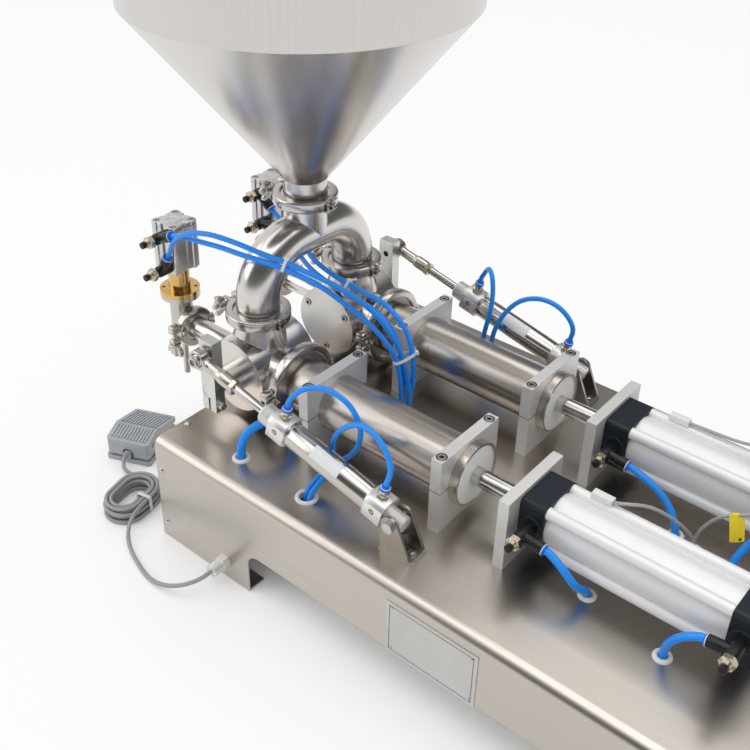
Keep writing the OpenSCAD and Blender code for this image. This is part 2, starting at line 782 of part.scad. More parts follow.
module cradle_caps() color([0.8, 0.8, 0.79]) for (s = SIDES) head(s) cradle_pair() difference() {
    box([0, -cradle_w / 2, cradle_split / 2], [cradle_t, cradle_w / 2, cradle_top]);
    bar_x(fill_r + fit, -over, cradle_t + over);
    for (y = [-cradle_screw_y, cradle_screw_y])
        translate([cradle_t / 2, y, cradle_top]) screw_hole(shank_l);
}

module cradle_screws() color([0.2, 0.2, 0.21]) for (s = SIDES) head(s) cradle_pair()
    for (y = [-cradle_screw_y, cradle_screw_y])
        translate([cradle_t / 2, y, cradle_top - sink + head_h]) socket_screw(shank_l);

// Corner screws of a drive cylinder
module cap_corners() for (y = [-lobe_at, lobe_at], z = [-lobe_at, lobe_at]) translate([0, y, z]) children();
module facing_front() translate([plate_x, 0, 0]) rotate([0, -90, 0]) children();
module facing_rear() translate([rear_x + cap_l, 0, 0]) rotate([0, 90, 0]) children();

module drive_plates() color([0.83, 0.83, 0.82]) for (s = SIDES) head(s) difference() {
    box([plate_x, -plate_w / 2, floor_z], [cap_x, plate_w / 2, plate_top]);
    bar_x(spigot_r, plate_x - over, cap_x + over);
    cap_corners() facing_front() screw_hole(drive_shank + plate_t);
}

module cap_body(x) translate([x, 0, 0]) rotate([90, 0, 90]) linear_extrude(cap_l) round_square(cap_w, cap_w, cap_r);

module cap_port(s, x)
    translate([x, s * cap_w / 2, 0]) bar_y(valve_thread_r, -valve_thread_l - over, valve_thread_l + over);

module drive_caps() color([0.13, 0.16, 0.2]) for (s = SIDES) head(s) {
    difference() {
        union() {
            cap_body(cap_x);
            bar_x(spigot_r - fit, cap_x - spigot_l, cap_x + over);
        }
        bar_x(rod_bush_r, cap_x - spigot_l - over, barrel_x + over);
        cap_port(-s, port_x);
        cap_corners() facing_front() screw_hole(drive_shank + plate_t);
    }
    difference() {
        cap_body(rear_x);
        cap_port(-s, rear_port_x);
        cap_corners() facing_rear() screw_hole(drive_shank);
    }
}

module drive_barrels() color([0.86, 0.87, 0.88]) for (s = SIDES) head(s) difference() {
    union() {
        bar_x(drive_r + drive_wall, barrel_x, rear_x);
        cap_corners() bar_x(lobe_r, barrel_x, rear_x);
    }
    bar_x(drive_r, barrel_x - over, rear_x + over);
    cap_corners() facing_front() screw_hole(drive_shank + plate_t);
    cap_corners() facing_rear() screw_hole(drive_shank);
}

module drive_screws() color([0.55, 0.55, 0.55]) for (s = SIDES) head(s) {
    down = head_h - sink;
    cap_corners() facing_front() translate([0, 0, down]) socket_screw(drive_shank + plate_t - over - sink);
    cap_corners() facing_rear() translate([0, 0, down]) socket_screw(drive_shank - over - sink);
}

module rod_bushes() color([0.72, 0.58, 0.34]) for (s = SIDES) head(s) difference() {
    bar_x(rod_bush_r - fit, cap_x - spigot_l, barrel_x);
    bar_x(rod_r + run, cap_x - spigot_l - over, barrel_x + over);
}

// Speed control fitting on a face towards -Y, with its arm turned down by the given angle
module speed_control(arm) {
    bar_y(valve_thread_r - fit, -over, valve_thread_l);
    bar_y(valve_r, -valve_body_l, 0);
    hex_y(valve_r + 0.5, -valve_body_l - valve_hex_l, -valve_body_l);
    bar_y(valve_r - 3, -valve_body_l - valve_hex_l - valve_knob_l, -valve_body_l - valve_hex_l);
    translate([0, -valve_arm_y, 0]) rotate([0, arm, 0]) bar_x(valve_arm_r, 0, valve_arm_l);
}

module air_fittings() color([0.16, 0.17, 0.18]) for (s = SIDES) {
    translate(drive_port(s, port_x)) speed_control(drive_arm);
    translate(drive_port(s, rear_port_x)) speed_control(180 - drive_arm);
    for (k = [0, 1]) translate(compact_port(s, k)) speed_control(compact_arm(s, k));
}

// A switch sits on the upper lobe that faces +Y on both heads
module reed_switches() color([0.87, 0.87, 0.85]) for (s = SIDES) head(s) translate([0, s * lobe_at, 0])
    box([switch_at, -switch_w / 2, switch_z], [switch_at + switch_l, switch_w / 2, switch_z + switch_h]);

module fill_tubes() color([0.74, 0.72, 0.69]) for (s = SIDES) head(s) difference() {
    union() {
        bar_x(fill_r, fill_port_l + half_gasket, collar_x);
        bar_x(fill_flange_od / 2, fill_port_l + half_gasket, fill_port_l + half_gasket + ferrule_t);
        bar_x(collar_od / 2, collar_x, collar_end);
    }
    bar_x(fill_bore_r, fill_port_l - over, collar_end);
    bar_x(collar_od / 2 - collar_wall, bush_x, collar_end + over);
}

module guide_bushes() color([0.94, 0.94, 0.95]) for (s = SIDES) head(s) difference() {
    union() {
        bar_x(collar_od / 2 - collar_wall - fit, bush_x, collar_end - bush_set);
        bar_x(fill_bore_r - fit, bush_x - bush_l, bush_x + over);
    }
    bar_x(rod_r + run, bush_x - bush_l - over, collar_end + over);
}

seal_w = 5;
seal_t = 4;
piston_slack = 0.5;
seal_at = [piston_end - piston_l + 4, piston_end - 4 - seal_w];

module fill_piston(s) head(s) {
    color([0.9, 0.9, 0.88]) difference() {
        bar_x(fill_bore_r - piston_slack, piston_end - piston_l, piston_end);
        for (x = seal_at) difference() {
            bar_x(fill_r, x, x + seal_w);
            bar_x(fill_bore_r - seal_t, x - over, x + seal_w + over);
        }
    }
    color([0.2, 0.2, 0.2]) for (x = seal_at) difference() {
        bar_x(fill_bore_r - run, x + fit, x + seal_w - fit);
        bar_x(fill_bore_r - seal_t + fit, x - over, x + seal_w + over);
    }
}
module near_fill_piston() fill_piston(NEAR);
module far_fill_piston() fill_piston(FAR);

// The fill rod and the drive rod meet end to end at the rod joint
module piston_rod(s) color([0.78, 0.76, 0.73]) head(s) {
    bar_x(rod_r, piston_end, rod_joint_x);
    bar_x(rod_r, rod_joint_x, drive_piston_end - drive_piston_l);
}
module near_piston_rod() piston_rod(NEAR);
module far_piston_rod() piston_rod(FAR);

module drive_piston(s) color([0.6, 0.6, 0.62]) head(s)
    bar_x(drive_r - run, drive_piston_end - drive_piston_l, drive_piston_end);
module near_drive_piston() drive_piston(NEAR);
module far_drive_piston() drive_piston(FAR);

module cover_places() for (a = [90, 210, 330])
    rotate([0, a, 0]) translate([cover_screw_r, -drum_w / 2 - cover_t, 0]) rotate([90, 0, 0]) children();

module valve_bodies() color([0.68, 0.66, 0.63]) for (s = SIDES) head(s) difference() {
    union() {
        bar_y(drum_r, -drum_w / 2, drum_w / 2);
        bar_y(boss_r, drum_w / 2 - over, drum_w / 2 + boss_l);
        bar_x(fill_r, 0, fill_port_l - half_gasket);
        bar_x(fill_flange_od / 2, fill_port_l - half_gasket - ferrule_t, fill_port_l - half_gasket);
        translate([0, 0, drum_r - 16]) cylinder(r1 = drum_r - 10, r2 = pipe_r, h = 26, $fn = round_fn);
        bar_z(pipe_r, 0, neck_l - half_gasket);
        bar_z(ferrule_od / 2, neck_l - half_gasket - ferrule_t, neck_l - half_gasket);
        bar_x(out_r, half_gasket - out_l, 0);
        bar_x(out_ferrule_od / 2, half_gasket - out_l, half_gasket - out_l + ferrule_t);
    }
    bar_y(plug_r + run, -drum_w / 2 - over, drum_w / 2 - drum_wall);
    bar_y(shaft_d / 2 + run, 0, drum_w / 2 + boss_l + over);
    bar_x(port_r, 0, drum_r + 4);
    bar_x(fill_bore_r, drum_r + 3, fill_port_l + over);
    bar_z(port_r, 0, drum_r + 4);
    bar_z(pipe_bore, drum_r + 3, neck_l + over);
    bar_x(out_bore, -out_l - over, 0);
    cover_places() screw_hole(cover_t + 6);
}

module valve_covers() color([0.7, 0.68, 0.65]) for (s = SIDES) head(s) difference() {
    bar_y(drum_r - 1, -drum_w / 2 - cover_t, -drum_w / 2);
    cover_places() bar_z(head_r + 0.4, -cover_t + 2, over);
    cover_places() bar_z(screw_r, -cover_t - over, over);
}

module cover_screws() color([0.3, 0.3, 0.3]) for (s = SIDES) head(s)
    cover_places() translate([0, 0, -cover_t + 2 + head_h]) socket_screw(8);

// The plug's lower side is cut away, so a quarter turn joins other passages
module valve_plug(s) {
    inner = clear - drum_w / 2;
    outer = drum_w / 2 - drum_wall - clear;
    cut_z = plug_r * sin(32);
    color([0.75, 0.73, 0.7]) head(s) {
        difference() {
            bar_y(plug_r, inner, outer);
            box([-plug_r - over, inner + 8, -plug_r - over], [plug_r + over, outer - 8, cut_z]);
        }
        bar_y(shaft_d / 2, outer - over, lever_y + lever_t - clear);
    }
}
module near_valve_plug() valve_plug(NEAR);
module far_valve_plug() valve_plug(FAR);

lever_low = shaft_d / 2 + 17;
lever_high = crank + 18;
lever_screw_z = -shaft_d / 2 - 9;
lever_screw_r = 2.5;

module lever(s) head(s) {
    color([0.77, 0.77, 0.76]) difference() {
        box([-lever_w / 2, lever_y, -lever_low], [lever_w / 2, lever_y + lever_t, lever_high]);
        bar_y(shaft_d / 2 + fit, lever_y - over, lever_y + lever_t + over);
        box([-1.5, lever_y - over, -lever_low - over], [1.5, lever_y + lever_t + over, 0]);
        translate([0, 0, crank]) bar_y(pin_r, lever_y - over, lever_y + lever_t + over);
        translate([0, lever_y + lever_t / 2, lever_screw_z]) bar_x(lever_screw_r, -lever_w / 2 - over, lever_w);
    }
    color([0.5, 0.5, 0.5]) translate([0, lever_y + lever_t / 2, lever_screw_z]) difference() {
        union() {
            bar_x(lever_screw_r - fit, -lever_w / 2, lever_w / 2 + over);
            bar_x(lever_screw_r * 1.8, lever_w / 2, lever_w / 2 + 5);
        }
        translate([lever_w / 2 + 2, 0, 0]) rotate([0, 90, 0]) cylinder(r = 2.4, h = 5, $fn = hex_fn);
    }
}
module near_lever() lever(NEAR);
module far_lever() lever(FAR);

module manifold_form(r) {
    low = leg_z + half_gasket;
    bow = leg_z + leg_l;
    for (s = SIDES) translate([valve_x, s * half_gap, 0]) mirror([0, s > 0 ? 1 : 0, 0]) {
        bar_z(r, low, bow);
        translate([0, 0, bow]) intersection() {
            translate([0, elbow_r, 0]) rotate([0, 90, 0]) rotate_extrude($fn = 2 * round_fn)
                translate([elbow_r, 0]) circle(r, $fn = round_fn);
            box([-pipe_od, -pipe_od, 0], [pipe_od, elbow_r, elbow_r + pipe_od]);
        }
    }
    translate([valve_x, 0, run_z]) bar_y(r, elbow_r - half_gap, half_gap - elbow_r);
    translate([valve_x, 0, 0]) bar_z(r, run_z, hopper_z - half_gasket);
}

module manifold() color([0.72, 0.7, 0.68]) difference() {
    union() {
        manifold_form(pipe_r);
        for (s = SIDES) translate([valve_x, s * half_gap, leg_z + half_gasket]) bar_z(ferrule_od / 2, 0, ferrule_t);
        translate([valve_x, 0, hopper_z - half_gasket - ferrule_t]) bar_z(ferrule_od / 2, 0, ferrule_t);
    }
    manifold_form(pipe_bore);
    for (s = SIDES) translate([valve_x, s * half_gap, leg_z]) bar_z(pipe_bore, -over, leg_l / 2);
    translate([valve_x, 0, hopper_z]) bar_z(pipe_bore, -leg_l / 2, over);
}

hopper_r = hopper_od / 2;
cone_h = (hopper_r - pipe_r) / tan(cone_a);

module hopper() color([0.73, 0.71, 0.69]) translate([valve_x, 0, hopper_z]) {
    base = hopper_neck;
    top = base + cone_h;
    lip = top + wall_h;
    rotate_extrude($fn = 2 * round_fn) {
        polygon([
            [pipe_r - hopper_t, half_gasket], [pipe_r, half_gasket], [pipe_r, base], [hopper_r, top],
            [hopper_r, lip], [hopper_r - hopper_t, lip], [hopper_r - hopper_t, top + hopper_t],
            [pipe_r - hopper_t, base + hopper_t]
        ]);
        translate([pipe_r - hopper_t, half_gasket]) square([ferrule_od / 2 - pipe_r + hopper_t, ferrule_t]);
        translate([hopper_r + rim_r - hopper_t, lip]) difference() {
            circle(rim_r, $fn = round_fn);
            circle(rim_r - hopper_t, $fn = round_fn);
        }
    }
}

// Hinged pipe clamp: the joint lies in its middle plane, the hinge at +X and the bolt at -X
link_w = 16;
ear_gap = 8;
ear_t = 6;
ear_end = ear_gap / 2 + ear_t;
nut_l = 14;

module each_joint() for (j = JOINTS) translate(j[0]) rotate(j[1]) {
    $flange_r = j[2][0];
    $clamp_w = j[2][1];
    $jaw_r = j[2][0] + jaw_t;
    children();
}

module jaw_ring() difference() {
    groove = ferrule_t + half_gasket + fit;
    bar_z($jaw_r, -$clamp_w / 2, $clamp_w / 2);
    bar_z($flange_r - 3, -$clamp_w, $clamp_w);
    bar_z($flange_r + fit, -groove, groove);
}

module clamp_jaws() color([0.7, 0.68, 0.66]) each_joint() difference() {
    union() {
        jaw_ring();
        box([-$jaw_r - ear_l, -ear_end, -$clamp_w / 2 + 1], [over - $jaw_r, ear_end, $clamp_w / 2 - 1]);
    }
    box([-2 * $jaw_r, -ear_gap / 2, -$clamp_w], [0, ear_gap / 2, $clamp_w]);
    box([0, -link_w / 2, -$clamp_w], [2 * $jaw_r, link_w / 2, $clamp_w]);
    translate([-$jaw_r - ear_l / 2, 0, 0]) bar_y(clamp_bolt_r + clear, -2 * ear_end, 2 * ear_end);
}

module clamp_links() color([0.25, 0.24, 0.23]) each_joint() {
    half = link_w / 2 - fit;
    intersection() {
        union() {
            jaw_ring();
            box([$jaw_r - 2, -half, -$clamp_w / 2], [$jaw_r + 4, half, $clamp_w / 2]);
        }
        box([0, -half, -$clamp_w], [2 * $jaw_r, half, $clamp_w]);
    }
    for (y = [4 - half, half - 4])
        translate([$jaw_r, y, 0]) bar_z(2, -$clamp_w / 2 - 1.5, $clamp_w / 2 + 1.5);
}

module clamp_bolts() color([0.62, 0.6, 0.58]) each_joint() translate([-$jaw_r - ear_l / 2, 0, 0]) {
    bar_y(clamp_bolt_r, -ear_end - nut_l - 5, ear_end + over);
    box([-ear_l / 2, ear_end, 1 - $clamp_w / 2], [ear_l / 2, ear_end + 5, $clamp_w / 2 - 1]);
}

module clamp_nuts() color([0.66, 0.64, 0.62]) each_joint() translate([-$jaw_r - ear_l / 2, -ear_end, 0])
    difference() {
        union() {
            bar_y(6, -nut_l, 0);
            for (m = [0, 1]) mirror([0, 0, m]) translate([-1.5, 0, 0]) rotate([90, 0, 90]) linear_extrude(3)
                polygon([[-2, 0], [-4, 13], [-nut_l - 2, 17], [-nut_l, 0]]);
        }
        bar_y(clamp_bolt_r + fit, -nut_l - over, over);
    }

module gaskets() color([0.9, 0.9, 0.88]) each_joint() difference() {
    bar_z($flange_r - 1, -half_gasket + fit, half_gasket - fit);
    bar_z($flange_r - 6, -gasket_t, gasket_t);
}

// End block with its flats, cut from a round bar
module air_block(a) intersection() {
    box([a, -air_block_w / 2, -air_block_w / 2], [a + air_block_l, air_block_w / 2, air_block_w / 2]);
    bar_x(air_block_w * 0.6, a - over, a + air_block_l + over);
}

module push_fitting(s) translate([s, 0, air_block_w / 2]) {
    bar_z(push_r - 1 - fit, -4, 0);
    hex_z(push_hex_r, 0, push_hex_h);
    bar_z(push_r, push_hex_h, push_hex_h + push_h);
}

module air_cylinder(s) air_line(s) {
    tube_r = air_bore / 2 + air_wall;
    color([0.85, 0.85, 0.84]) difference() {
        union() {
            air_block(rear_block_s);
            bar_x(nose_r, -cheek_r, rear_block_s + over);
        }
        bar_y(pin_r + run, -nose_r - over, nose_r + over);
        translate([air_ports[0], 0, 0]) bar_z(push_r - 1, air_block_w / 2 - 5, air_block_w);
    }
    color([0.78, 0.77, 0.75]) difference() {
        bar_x(tube_r, tube_s, front_block_s);
        bar_x(air_bore / 2, tube_s - over, front_block_s + over);
    }
    color([0.85, 0.85, 0.84]) difference() {
        union() {
            air_block(front_block_s);
            bar_x(nose_r, front_nose_s - over, front_nose_s + front_nose_l);
        }
        bar_x(air_rod_d / 2 + run, front_block_s - over, front_nose_s + front_nose_l + over);
        translate([air_ports[1], 0, 0]) bar_z(push_r - 1, air_block_w / 2 - 5, air_block_w);
    }
    color([0.75, 0.68, 0.5]) for (p = air_ports) push_fitting(p);
}
module near_air_cylinder() air_cylinder(NEAR);
module far_air_cylinder() air_cylinder(FAR);

// Rod with its piston, the rod end's eye and the pin, which stops short of the lever
module air_rod(s) air_line(s) {
    eye_w = 12;
    eye_r = 12;
    piston_s = tube_s + 6;
    color([0.82, 0.82, 0.82]) {
        bar_x(air_bore / 2 - run, piston_s, piston_s + air_piston_l);
        bar_x(air_rod_d / 2, piston_s + air_piston_l - over, rod_end_s);
    }
    color([0.72, 0.7, 0.62]) difference() {
        union() {
            rotate([0, 90, 0]) translate([0, 0, rod_end_s]) cylinder(r = 9, h = 6, $fn = hex_fn);
            bar_x(8, rod_end_s + 6 - over, air_reach - eye_r + 2);
            translate([air_reach, 0, 0]) bar_y(eye_r, -eye_w / 2, eye_w / 2);
        }
        translate([air_reach, 0, 0]) bar_y(pin_r, -eye_w, eye_w);
    }
    color([0.65, 0.65, 0.65]) translate([air_reach, 0, 0]) {
        bar_y(pin_r - fit, -eye_w / 2 - over, air_y - lever_y - lever_t - clear);
        hex_y(7, -eye_w / 2 - 5, -eye_w / 2);
    }
}
module near_air_rod() air_rod(NEAR);
module far_air_rod() air_rod(FAR);

cheek_in = nose_r + clear;
cheek_out = cheek_in + cheek_t;

clevis_foot = 13;
clevis_heel = 28;
pin_end = 4;
pin_hex_r = 7;

module clevises() color([0.7, 0.68, 0.65]) for (s = SIDES) head(s) translate([clevis_x, air_y, clevis_z]) {
    box([-clevis_foot, -cheek_out, -clevis_h], [clevis_heel, cheek_out, cheek_t - clevis_h]);
    for (y = [-cheek_out, cheek_in]) difference() {
        translate([0, y + cheek_t, 0]) rotate([90, 0, 0]) linear_extrude(cheek_t) {
            polygon([
                [-cheek_r, -clevis_h], [clevis_heel, -clevis_h], [cheek_r * cos(40), cheek_r * sin(40)], [-cheek_r, 0]
            ]);
            circle(cheek_r, $fn = round_fn);
        }
        bar_y(pin_r + fit, -cheek_out - over, cheek_out + over);
    }
}

module clevis_pins() color([0.66, 0.66, 0.66]) for (s = SIDES) head(s) translate([clevis_x, air_y, clevis_z]) {
    bar_y(pin_r, -cheek_out - pin_end, cheek_out + over);
    hex_y(pin_hex_r, cheek_out, cheek_out + pin_end);
}

module nozzle(s) head(s) translate([-nozzle_x, 0, 0]) children();

module flange_holes(a, b) for (k = [0 : 3])
    rotate([0, 0, 45 + 90 * k]) translate([nozzle_flange_od / 2 - 5, 0, 0]) bar_z(2.2, a, b);

module nozzle_bodies() color([0.74, 0.72, 0.7]) for (s = SIDES) nozzle(s) difference() {
    port = nozzle_x - out_l - half_gasket;
    union() {
        bar_z(nozzle_od / 2, -nozzle_low, nozzle_top);
        bar_z(nozzle_flange_od / 2, nozzle_top - 5, nozzle_top);
        bar_z(tip_r, -tip_low, over - nozzle_low);
        bar_x(out_r - 1.5, 0, port);
        bar_x(out_ferrule_od / 2, port - ferrule_t, port);
    }
    bar_z(nozzle_od / 2 - 3, 4 - nozzle_low, nozzle_top + over);
    bar_z(tip_bore, -tip_low - over, 5 - nozzle_low);
    bar_x(out_bore, 0, port + over);
    flange_holes(nozzle_top - 6, nozzle_top + over);
}

module nozzle_columns() color([0.78, 0.6, 0.26]) for (s = SIDES) nozzle(s) difference() {
    union() {
        bar_z(nozzle_flange_od / 2, nozzle_top, nozzle_top + 6);
        bar_z(13, nozzle_top + 6 - over, compact_z);
    }
    bar_z(needle_r + run, nozzle_top - over, compact_z + over);
    flange_holes(nozzle_top - over, nozzle_top + 7);
}

module compact_cylinders() color([0.82, 0.83, 0.84]) for (s = SIDES) nozzle(s) translate([0, 0, compact_z])
    difference() {
        linear_extrude(compact_h) difference() {
            round_square(compact_w, compact_w, 5);
            for (a = [0 : 90 : 270])
                rotate(a) translate([compact_w / 2, 0]) circle(2, $fn = round_fn);
        }
        bar_z(compact_w * 0.32, 8, compact_h - 8);
        bar_z(needle_r + run, -over, 9);
        for (x = [-1, 1], y = [-1, 1])
            translate([x * compact_w * 0.36, y * compact_w * 0.36, 0]) bar_z(3.2, compact_h - 4, compact_h + over);
        for (k = [0, 1]) translate([compact_port_x, -s * compact_w / 2, compact_ports[k]])
            bar_y(valve_thread_r, -valve_thread_l - over, valve_thread_l + over);
    }

module needle(s) color([0.78, 0.77, 0.76]) nozzle(s) {
    seat = 4 - nozzle_low + clear;
    bar_z(needle_r, seat, compact_z + 14);
    bar_z(compact_w * 0.32 - run, compact_z + 12, compact_z + 20);
}
module near_needle() needle(NEAR);
module far_needle() needle(FAR);

module pedal() translate([-pedal_out, -pedal_side, 0]) rotate([0, 0, pedal_yaw]) children();

post_x = treadle_w / 2 - pedal_wall - clear;

// Tray with its inner wall, pivot posts and pin, cord boss, return spring and microswitch
module pedal_tray() color([0.36, 0.4, 0.45]) pedal() {
    inner_w = treadle_w - 2 * pedal_wall - 3;
    inner_l = treadle_l - 2 * pedal_wall - 3;
    difference() {
        union() {
            linear_extrude(tray_t) round_square(pedal_w, pedal_l, pedal_r);
            translate([0, 0, tray_t - over]) linear_extrude(ring_h + over)
                round_square(inner_w, inner_l, pedal_r);
            for (x = [-1, 1]) translate([x * (inner_w / 2 - 5), pivot_y, 0])
                box([-5, -6, tray_t], [5, 6, pivot_z + 5]);
            translate([0, 0, cord_z]) bar_y(6, -pedal_l / 2 - cord_boss, -pedal_l / 2 + 12);
        }
        translate([0, 0, tray_t]) linear_extrude(pedal_h)
            round_square(inner_w - 20, inner_l - 36, pedal_r);
        translate([0, pivot_y, pivot_z]) bar_x(pin_r - 1, -pedal_w, pedal_w);
    }
    translate([0, pivot_y, pivot_z]) bar_x(pin_r - 1 - fit, -treadle_w / 2 + over, treadle_w / 2 - over);
    box([-10, -8, tray_t], [10, 8, tray_t + 14]);
}

// Height of the treadle's top, which rises to a ridge and falls away behind it
function treadle_z(y) = treadle_top - (y < ridge_y
    ? treadle_rise * (ridge_y - y) / (ridge_y + treadle_l / 2)
    : treadle_fall * (y - ridge_y) / (treadle_l / 2 - ridge_y));

// Upright slice of the pedal: the outline's first value runs along it and the second is the height
module pedal_slice(x, width) rotate([90, 0, 90]) translate([0, 0, x]) linear_extrude(width) children();

module above_treadle(low) pedal_slice(-pedal_w, 2 * pedal_w) polygon([
    [-pedal_l, treadle_z(-pedal_l) - low], [ridge_y, treadle_top - low], [pedal_l, treadle_z(pedal_l) - low],
    [pedal_l, 2 * pedal_h], [-pedal_l, 2 * pedal_h]
]);

module treadle_rib(x, a, b) pedal_slice(x - 1, 2) polygon([
    [a, treadle_z(a) - fit], [b, treadle_z(b) - fit], [b, treadle_z(b) + 1.5], [a, treadle_z(a) + 1.5]
]);

module pedal_treadle() color([0.42, 0.46, 0.51]) pedal() {
    drop = treadle_l * tan(pedal_travel) + over;
    difference() {
        linear_extrude(pedal_h) round_square(treadle_w, treadle_l, pedal_r);
        above_treadle(0);
        difference() {
            translate([0, 0, -over]) linear_extrude(pedal_h)
                round_square(treadle_w - 2 * pedal_wall, treadle_l - 2 * pedal_wall, pedal_r - 2);
            above_treadle(pedal_wall);
        }
        pedal_slice(-pedal_w, 2 * pedal_w) polygon([
            [-pedal_l, -over], [pedal_l, -over], [pedal_l, skirt_z + drop * 1.5], [treadle_l / 2, skirt_z + drop],
            [-treadle_l / 2, skirt_z], [-pedal_l, skirt_z]
        ]);
        translate([0, 0, cord_z]) bar_y(8, -pedal_l, 8 - pedal_l / 2);
        box([-8, -pedal_l, 0], [8, 8 - pedal_l / 2, cord_z]);
        translate([0, pivot_y, pivot_z]) bar_x(pin_r - 1 + run, -pedal_w, pedal_w);
    }
    pitch = (treadle_w - 12) / (rib_count - 1);
    for (k = [0 : rib_count - 1]) {
        x = -treadle_w / 2 + 6 + k * pitch;
        treadle_rib(x, 4 - treadle_l / 2, ridge_y - 2.5);
        treadle_rib(x, ridge_y + 2.5, treadle_l / 2 - 5);
    }
}

module hoses() color([0.1, 0.42, 0.95]) {
    for (p = [NEAR_UPPER, NEAR_LOWER, FAR_UPPER, FAR_LOWER]) hose(p, hose_d);
    for (p = [NEAR_DRIVE, FAR_DRIVE, NEAR_BACK, FAR_BACK]) hose(p, drive_hose_d);
    hose(SUPPLY, supply_d);
}
module near_valve_hoses() color([0.1, 0.42, 0.95]) for (p = [NEAR_FRONT, NEAR_REAR]) hose(p, hose_d);
module far_valve_hoses() color([0.1, 0.42, 0.95]) for (p = [FAR_FRONT, FAR_REAR]) hose(p, hose_d);
module sensor_leads() color([0.6, 0.6, 0.6]) for (p = [NEAR_LEAD, FAR_LEAD]) hose(p, lead_d);

// Pedal cord: two free stretches, the tied hank between them and the gland on the base
module pedal_cord() color([0.55, 0.56, 0.57]) {
    last = hank_turns * hank_rings;
    hose(concat(PEDAL_END, [HANK[0] - straight * unit(HANK[1] - HANK[0]), HANK[0]]), cord_d);
    hose(concat(
        [HANK[last], HANK[last] + straight * unit(HANK[last] - HANK[last - 1])],
        GLAND_END,
        [[gland_x, -base_w / 2 - gland_l, gland_z]]
    ), cord_d);
}
module cord_hank() color([0.58, 0.59, 0.6]) sweep(HANK, cord_d / 2, hank_sides);
module cord_gland() color([0.75, 0.75, 0.73]) translate([gland_x, -base_w / 2, gland_z]) {
    bar_y(gland_r - 2 - fit, -over, sheet_t);
    hex_y(gland_r + 2, -8, 0);
    bar_y(gland_r, -gland_l, -7);
}

module in_frame() translate([-frame_x, 0, 0]) children();

echo(hank_gap = hank_gap);

in_frame() base_shell();
in_frame() end_panels();
in_frame() panel_screws();
in_frame() hose_grommets();
in_frame() blank_plate();
in_frame() solenoid_block();
in_frame() control_unit();
in_frame() air_inlet();
in_frame() cradle_bases();
in_frame() cradle_caps();
in_frame() cradle_screws();
in_frame() drive_plates();
in_frame() drive_caps();
in_frame() drive_barrels();
in_frame() drive_screws();
in_frame() rod_bushes();
in_frame() air_fittings();
in_frame() reed_switches();
in_frame() fill_tubes();
in_frame() guide_bushes();
in_frame() near_fill_piston();
in_frame() far_fill_piston();
in_frame() near_piston_rod();
in_frame() far_piston_rod();
in_frame() near_drive_piston();
in_frame() far_drive_piston();
in_frame() valve_bodies();
in_frame() valve_covers();
in_frame() cover_screws();
in_frame() near_valve_plug();
in_frame() far_valve_plug();
in_frame() near_lever();
in_frame() far_lever();
in_frame() manifold();
in_frame() hopper();
in_frame() clamp_jaws();
in_frame() clamp_links();
in_frame() clamp_bolts();
in_frame() clamp_nuts();
in_frame() gaskets();
in_frame() near_air_cylinder();
in_frame() far_air_cylinder();
in_frame() near_air_rod();
in_frame() far_air_rod();
in_frame() clevises();
in_frame() clevis_pins();
in_frame() nozzle_bodies();
in_frame() nozzle_columns();
in_frame() near_needle();
in_frame() far_needle();
in_frame() compact_cylinders();
in_frame() pedal_tray();
in_frame() pedal_treadle();
in_frame() hoses();
in_frame() near_valve_hoses();
in_frame() far_valve_hoses();
in_frame() sensor_leads();
in_frame() pedal_cord();
in_frame() cord_hank();
in_frame() cord_gland();
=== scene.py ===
"""Looks of a two-head bench piston filler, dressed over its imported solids.

Lengths are millimetres in the machine's own frame, from the base's nozzle end, unless a name says
metres. Layout turns them into the frame's metres.
"""
import json
import logging
import math
from dataclasses import dataclass, field
from enum import Enum
from functools import cache
from typing import ClassVar, Sequence, Union

import bmesh
import bpy
from mathutils import Matrix, Vector


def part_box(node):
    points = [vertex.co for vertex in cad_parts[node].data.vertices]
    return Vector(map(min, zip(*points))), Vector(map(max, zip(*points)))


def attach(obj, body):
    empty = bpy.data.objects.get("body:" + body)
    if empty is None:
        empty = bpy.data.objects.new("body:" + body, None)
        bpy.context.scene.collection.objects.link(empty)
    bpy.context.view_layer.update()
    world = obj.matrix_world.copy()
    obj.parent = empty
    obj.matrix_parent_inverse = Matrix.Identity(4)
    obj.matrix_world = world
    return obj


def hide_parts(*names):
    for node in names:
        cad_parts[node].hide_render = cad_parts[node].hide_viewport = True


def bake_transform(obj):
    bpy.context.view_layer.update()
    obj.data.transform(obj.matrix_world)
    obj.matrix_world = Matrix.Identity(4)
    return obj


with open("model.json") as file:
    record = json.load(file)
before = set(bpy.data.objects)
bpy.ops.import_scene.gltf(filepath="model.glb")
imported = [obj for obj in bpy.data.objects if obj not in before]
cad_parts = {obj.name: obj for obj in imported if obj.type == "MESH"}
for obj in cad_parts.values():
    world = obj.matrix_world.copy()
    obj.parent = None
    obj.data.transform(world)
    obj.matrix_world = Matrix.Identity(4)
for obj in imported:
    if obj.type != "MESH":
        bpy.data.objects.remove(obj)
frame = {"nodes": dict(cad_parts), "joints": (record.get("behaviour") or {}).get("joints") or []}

LOG = logging.getLogger("filler")
MM = 0.001
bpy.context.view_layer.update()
UP = Vector((0, 0, 1))
REAR = Vector((1, 0, 0))
FARWARD = Vector((0, 1, 0))

Spot = tuple[float, float]
Point = tuple[float, float, float]
Colour = tuple[float, ...]
Profile = Sequence[Spot]
Ring = list[bmesh.types.BMVert]
Value = Union[bpy.types.NodeSocket, float, Colour]
Inputs = dict[Union[str, int], Value]


class Side(Enum):
    """The two heads: the near one stands on the pedal cord's side."""

    NEAR = -1
    FAR = 1

    @property
    def word(self) -> str:
        """The side's name as the bodies and nodes spell it."""
        return self.name.lower()


